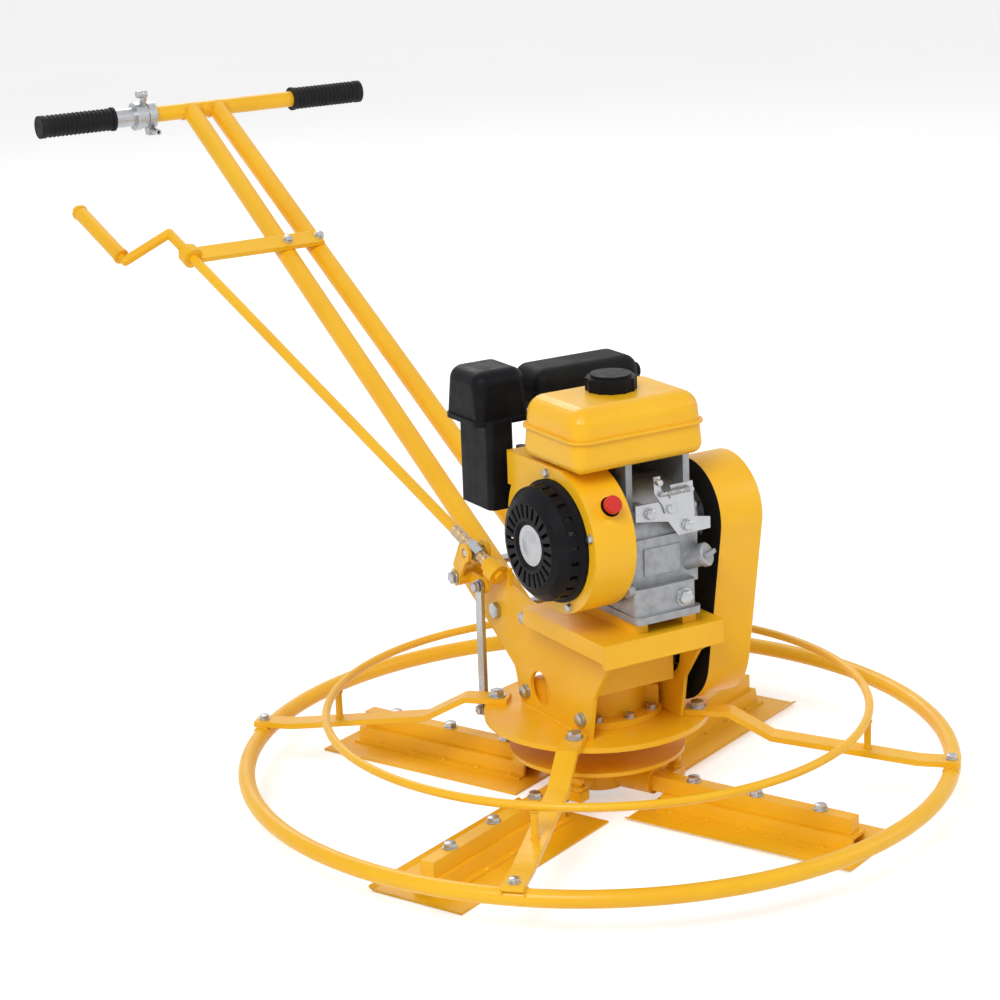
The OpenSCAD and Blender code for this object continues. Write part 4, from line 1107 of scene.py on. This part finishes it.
@dataclass
class BeltCover(Assembly):
    """Thin black sheet of painted shade on the guard's engine side, and the belt guard's screws."""

    back_face: float = -92.0
    front_face: float = -167.0
    upper: Flat = (103.0, 424.0)
    lower: Flat = (70.0, 222.0)
    radius: float = 78.0
    upper_hole: float = 40.0
    lower_hole: float = 30.0
    sheet: float = 0.9
    half_turn: int = 24
    screws: tuple[Flat, ...] = (
        (103.0, 478.0), (157.0, 424.0), (49.0, 424.0), (16.0, 222.0), (124.0, 222.0), (70.0, 168.0))

    def build(self) -> None:
        """Lays the black sheet of painted shade on the guard's engine side and screws its front on."""
        self._backing()
        self.bolts("guard_screws", M6, [((self.front_face, y, z), LEFT) for y, z in self.screws])

    def _arc(self, centre: Flat, radius: float, start: float, count: int) -> list[Flat]:
        """Points in y and z round a pulley, from a start angle in radians."""
        turns = [start + pi * step / self.half_turn for step in range(count)]
        return [(centre[0] + radius * cos(a), centre[1] + radius * sin(a)) for a in turns]

    def _rings(self) -> list[list[Flat]]:
        """The sheet's outline round both pulleys, and its two holes.

        Returns:
            Three closed lines in y and z.
        """
        heading = atan2(self.upper[1] - self.lower[1], self.upper[0] - self.lower[0])
        count = self.half_turn + 1
        outline = self._arc(self.upper, self.radius, heading - pi / 2, count)
        outline += self._arc(self.lower, self.radius, heading + pi / 2, count)
        return [outline, self._arc(self.upper, self.upper_hole, 0.0, 2 * self.half_turn),
                self._arc(self.lower, self.lower_hole, 0.0, 2 * self.half_turn)]

    def _backing(self) -> None:
        """Thin black sheet over the guard's engine side, open at both shafts; its black is painted shade for the
        dark inside of the guard.
        """
        curve = bpy.data.curves.new("guard_shade_sheet", "CURVE")
        curve.dimensions = "2D"
        curve.fill_mode = "BOTH"
        curve.extrude = self.sheet * MM / 2
        for ring in self._rings():
            spline = curve.splines.new("POLY")
            spline.points.add(len(ring) - 1)
            for place, (y, z) in zip(spline.points, ring):
                place.co = (y * MM, z * MM, 0.0, 1.0)
            spline.use_cyclic_u = True
        flat = add_object("guard_shade_sheet_curve", curve)
        mesh = bpy.data.meshes.new_from_object(flat.evaluated_get(bpy.context.evaluated_depsgraph_get()))
        bpy.data.objects.remove(flat)
        middle = (self.back_face + self.sheet / 2) * MM
        mesh.transform(Matrix(((0, 0, 1, middle), (1, 0, 0, 0), (0, 1, 0, 0), (0, 0, 0, 1))))
        mesh.name = "guard_shade_sheet"
        mesh.materials.clear()
        # black paint here is painted shade: it stands in for the dark inside of the belt guard
        mesh.materials.append(self.palette.materials[Slot.BLACK_PAINT])
        self.keep(add_object("guard_shade_sheet", mesh), Slot.BLACK_PAINT)


# --- studio


@dataclass(frozen=True)
class Lamp:
    """A round soft lamp: where it hangs and aims, its width in metres and its power in watts."""

    name: str
    place: Point
    target: Point
    width: float
    power: float


@dataclass
class Studio:
    """Pale floor, soft lamps and the camera of the photograph."""

    eye: Point = (1.9485, 3.0691, 1.5016)
    ahead: Point = (-0.48589, -0.82768, -0.2808)
    across: Point = (-0.85668, 0.51468, -0.03466)
    lens: float = 98.16
    sensor: float = 36.0
    sight: float = 200.0
    floor_half: float = 40.0
    floor_sink: float = 0.0006
    floor_glow: float = 0.42
    floor_patches: Grain = Grain(1.5, 3.0, 0.3, 0.7)
    floor_tones: tuple[Colour, Colour] = ((0.93, 0.93, 0.93), (0.95, 0.95, 0.95))
    fill_light: float = 0.47
    lamps: tuple[Lamp, ...] = (
        Lamp("key", (3.2, 2.6, 4.2), (0.0, -0.2, 0.4), 2.6, 158.0),
        Lamp("fill", (-3.6, 2.2, 2.4), (0.0, 0.0, 0.3), 3.0, 36.0),
        Lamp("rim", (-1.0, -4.2, 3.6), (0.0, -0.4, 0.5), 2.6, 60.0))

    def build(self) -> None:
        """Sets camera, floor, lamps and world."""
        self._camera()
        self._floor()
        self._lamps()
        self._world()
        bpy.context.scene.view_settings.view_transform = "Standard"

    def _camera(self) -> None:
        """Camera where the photograph was taken from."""
        data = bpy.data.cameras.new("photo_camera")
        data.lens = self.lens
        data.sensor_width = self.sensor
        data.clip_end = self.sight
        back = -Vector(self.ahead).normalized()
        right = Vector(self.across).normalized()
        turn = Matrix((right, back.cross(right), back)).transposed().to_4x4()
        camera = add_object("photo_camera", data)
        camera.matrix_world = Matrix.Translation(self.eye) @ turn
        bpy.context.scene.camera = camera

    def _floor(self) -> None:
        """Wide pale floor that keeps the object's shadow."""
        half = self.floor_half
        corners = [(-half, -half, 0), (half, -half, 0), (half, half, 0), (-half, half, 0)]
        mesh = bpy.data.meshes.new("floor")
        mesh.from_pydata(corners, [], [(0, 1, 2, 3)])
        shader = Shader("pale_floor")
        shader.fill(shader.surface, {
            "Base Color": shader.blend(shader.mask(self.floor_patches), *self.floor_tones),
            "Roughness": 0.9, "Specular IOR Level": 0.1, "Emission Color": (1.0, 1.0, 1.0, 1.0),
            "Emission Strength": shader.maths("MULTIPLY", shader.seen(), self.floor_glow)})
        mesh.materials.append(shader.material)
        floor = add_object("floor", mesh)
        floor.location.z = -self.floor_sink

    def _lamps(self) -> None:
        """Large soft lamps: key at the machine's front right, fill at its front left, rim light behind it."""
        for lamp in self.lamps:
            data = bpy.data.lights.new(lamp.name, "AREA")
            data.shape = "DISK"
            data.size = lamp.width
            data.energy = lamp.power
            made = add_object(lamp.name, data)
            made.location = lamp.place
            made.rotation_euler = (Vector(lamp.target) - Vector(lamp.place)).to_track_quat("-Z", "Y").to_euler()

    def _world(self) -> None:
        """White surroundings that fill the shadows."""
        world = bpy.data.worlds.new("studio")
        world.use_nodes = True
        tree = Tree(world.node_tree)
        tree.tree.nodes.clear()
        strength = tree.node("ShaderNodeMapRange", {
            "Value": tree.seen(), "To Min": self.fill_light, "To Max": 1.0}).outputs["Result"]
        shade = tree.node("ShaderNodeBackground", {"Color": (1.0, 1.0, 1.0, 1.0), "Strength": strength})
        tree.node("ShaderNodeOutputWorld", {"Surface": shade.outputs["Background"]})
        bpy.context.scene.world = world


def main() -> None:
    """Loads the frame, dresses it and sets the studio."""
    logging.basicConfig(level=logging.INFO, format="%(name)s: %(message)s")
    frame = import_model()
    Studio().build()
    palette = Palette()
    palette.dress_nodes(frame)
    workshop = Workshop()
    for part in (Guard, Rotor, Gearbox, PitchGear, Handle, Engine, BeltCover):
        part(palette, workshop).build()


if __name__ == "__main__":
    main()
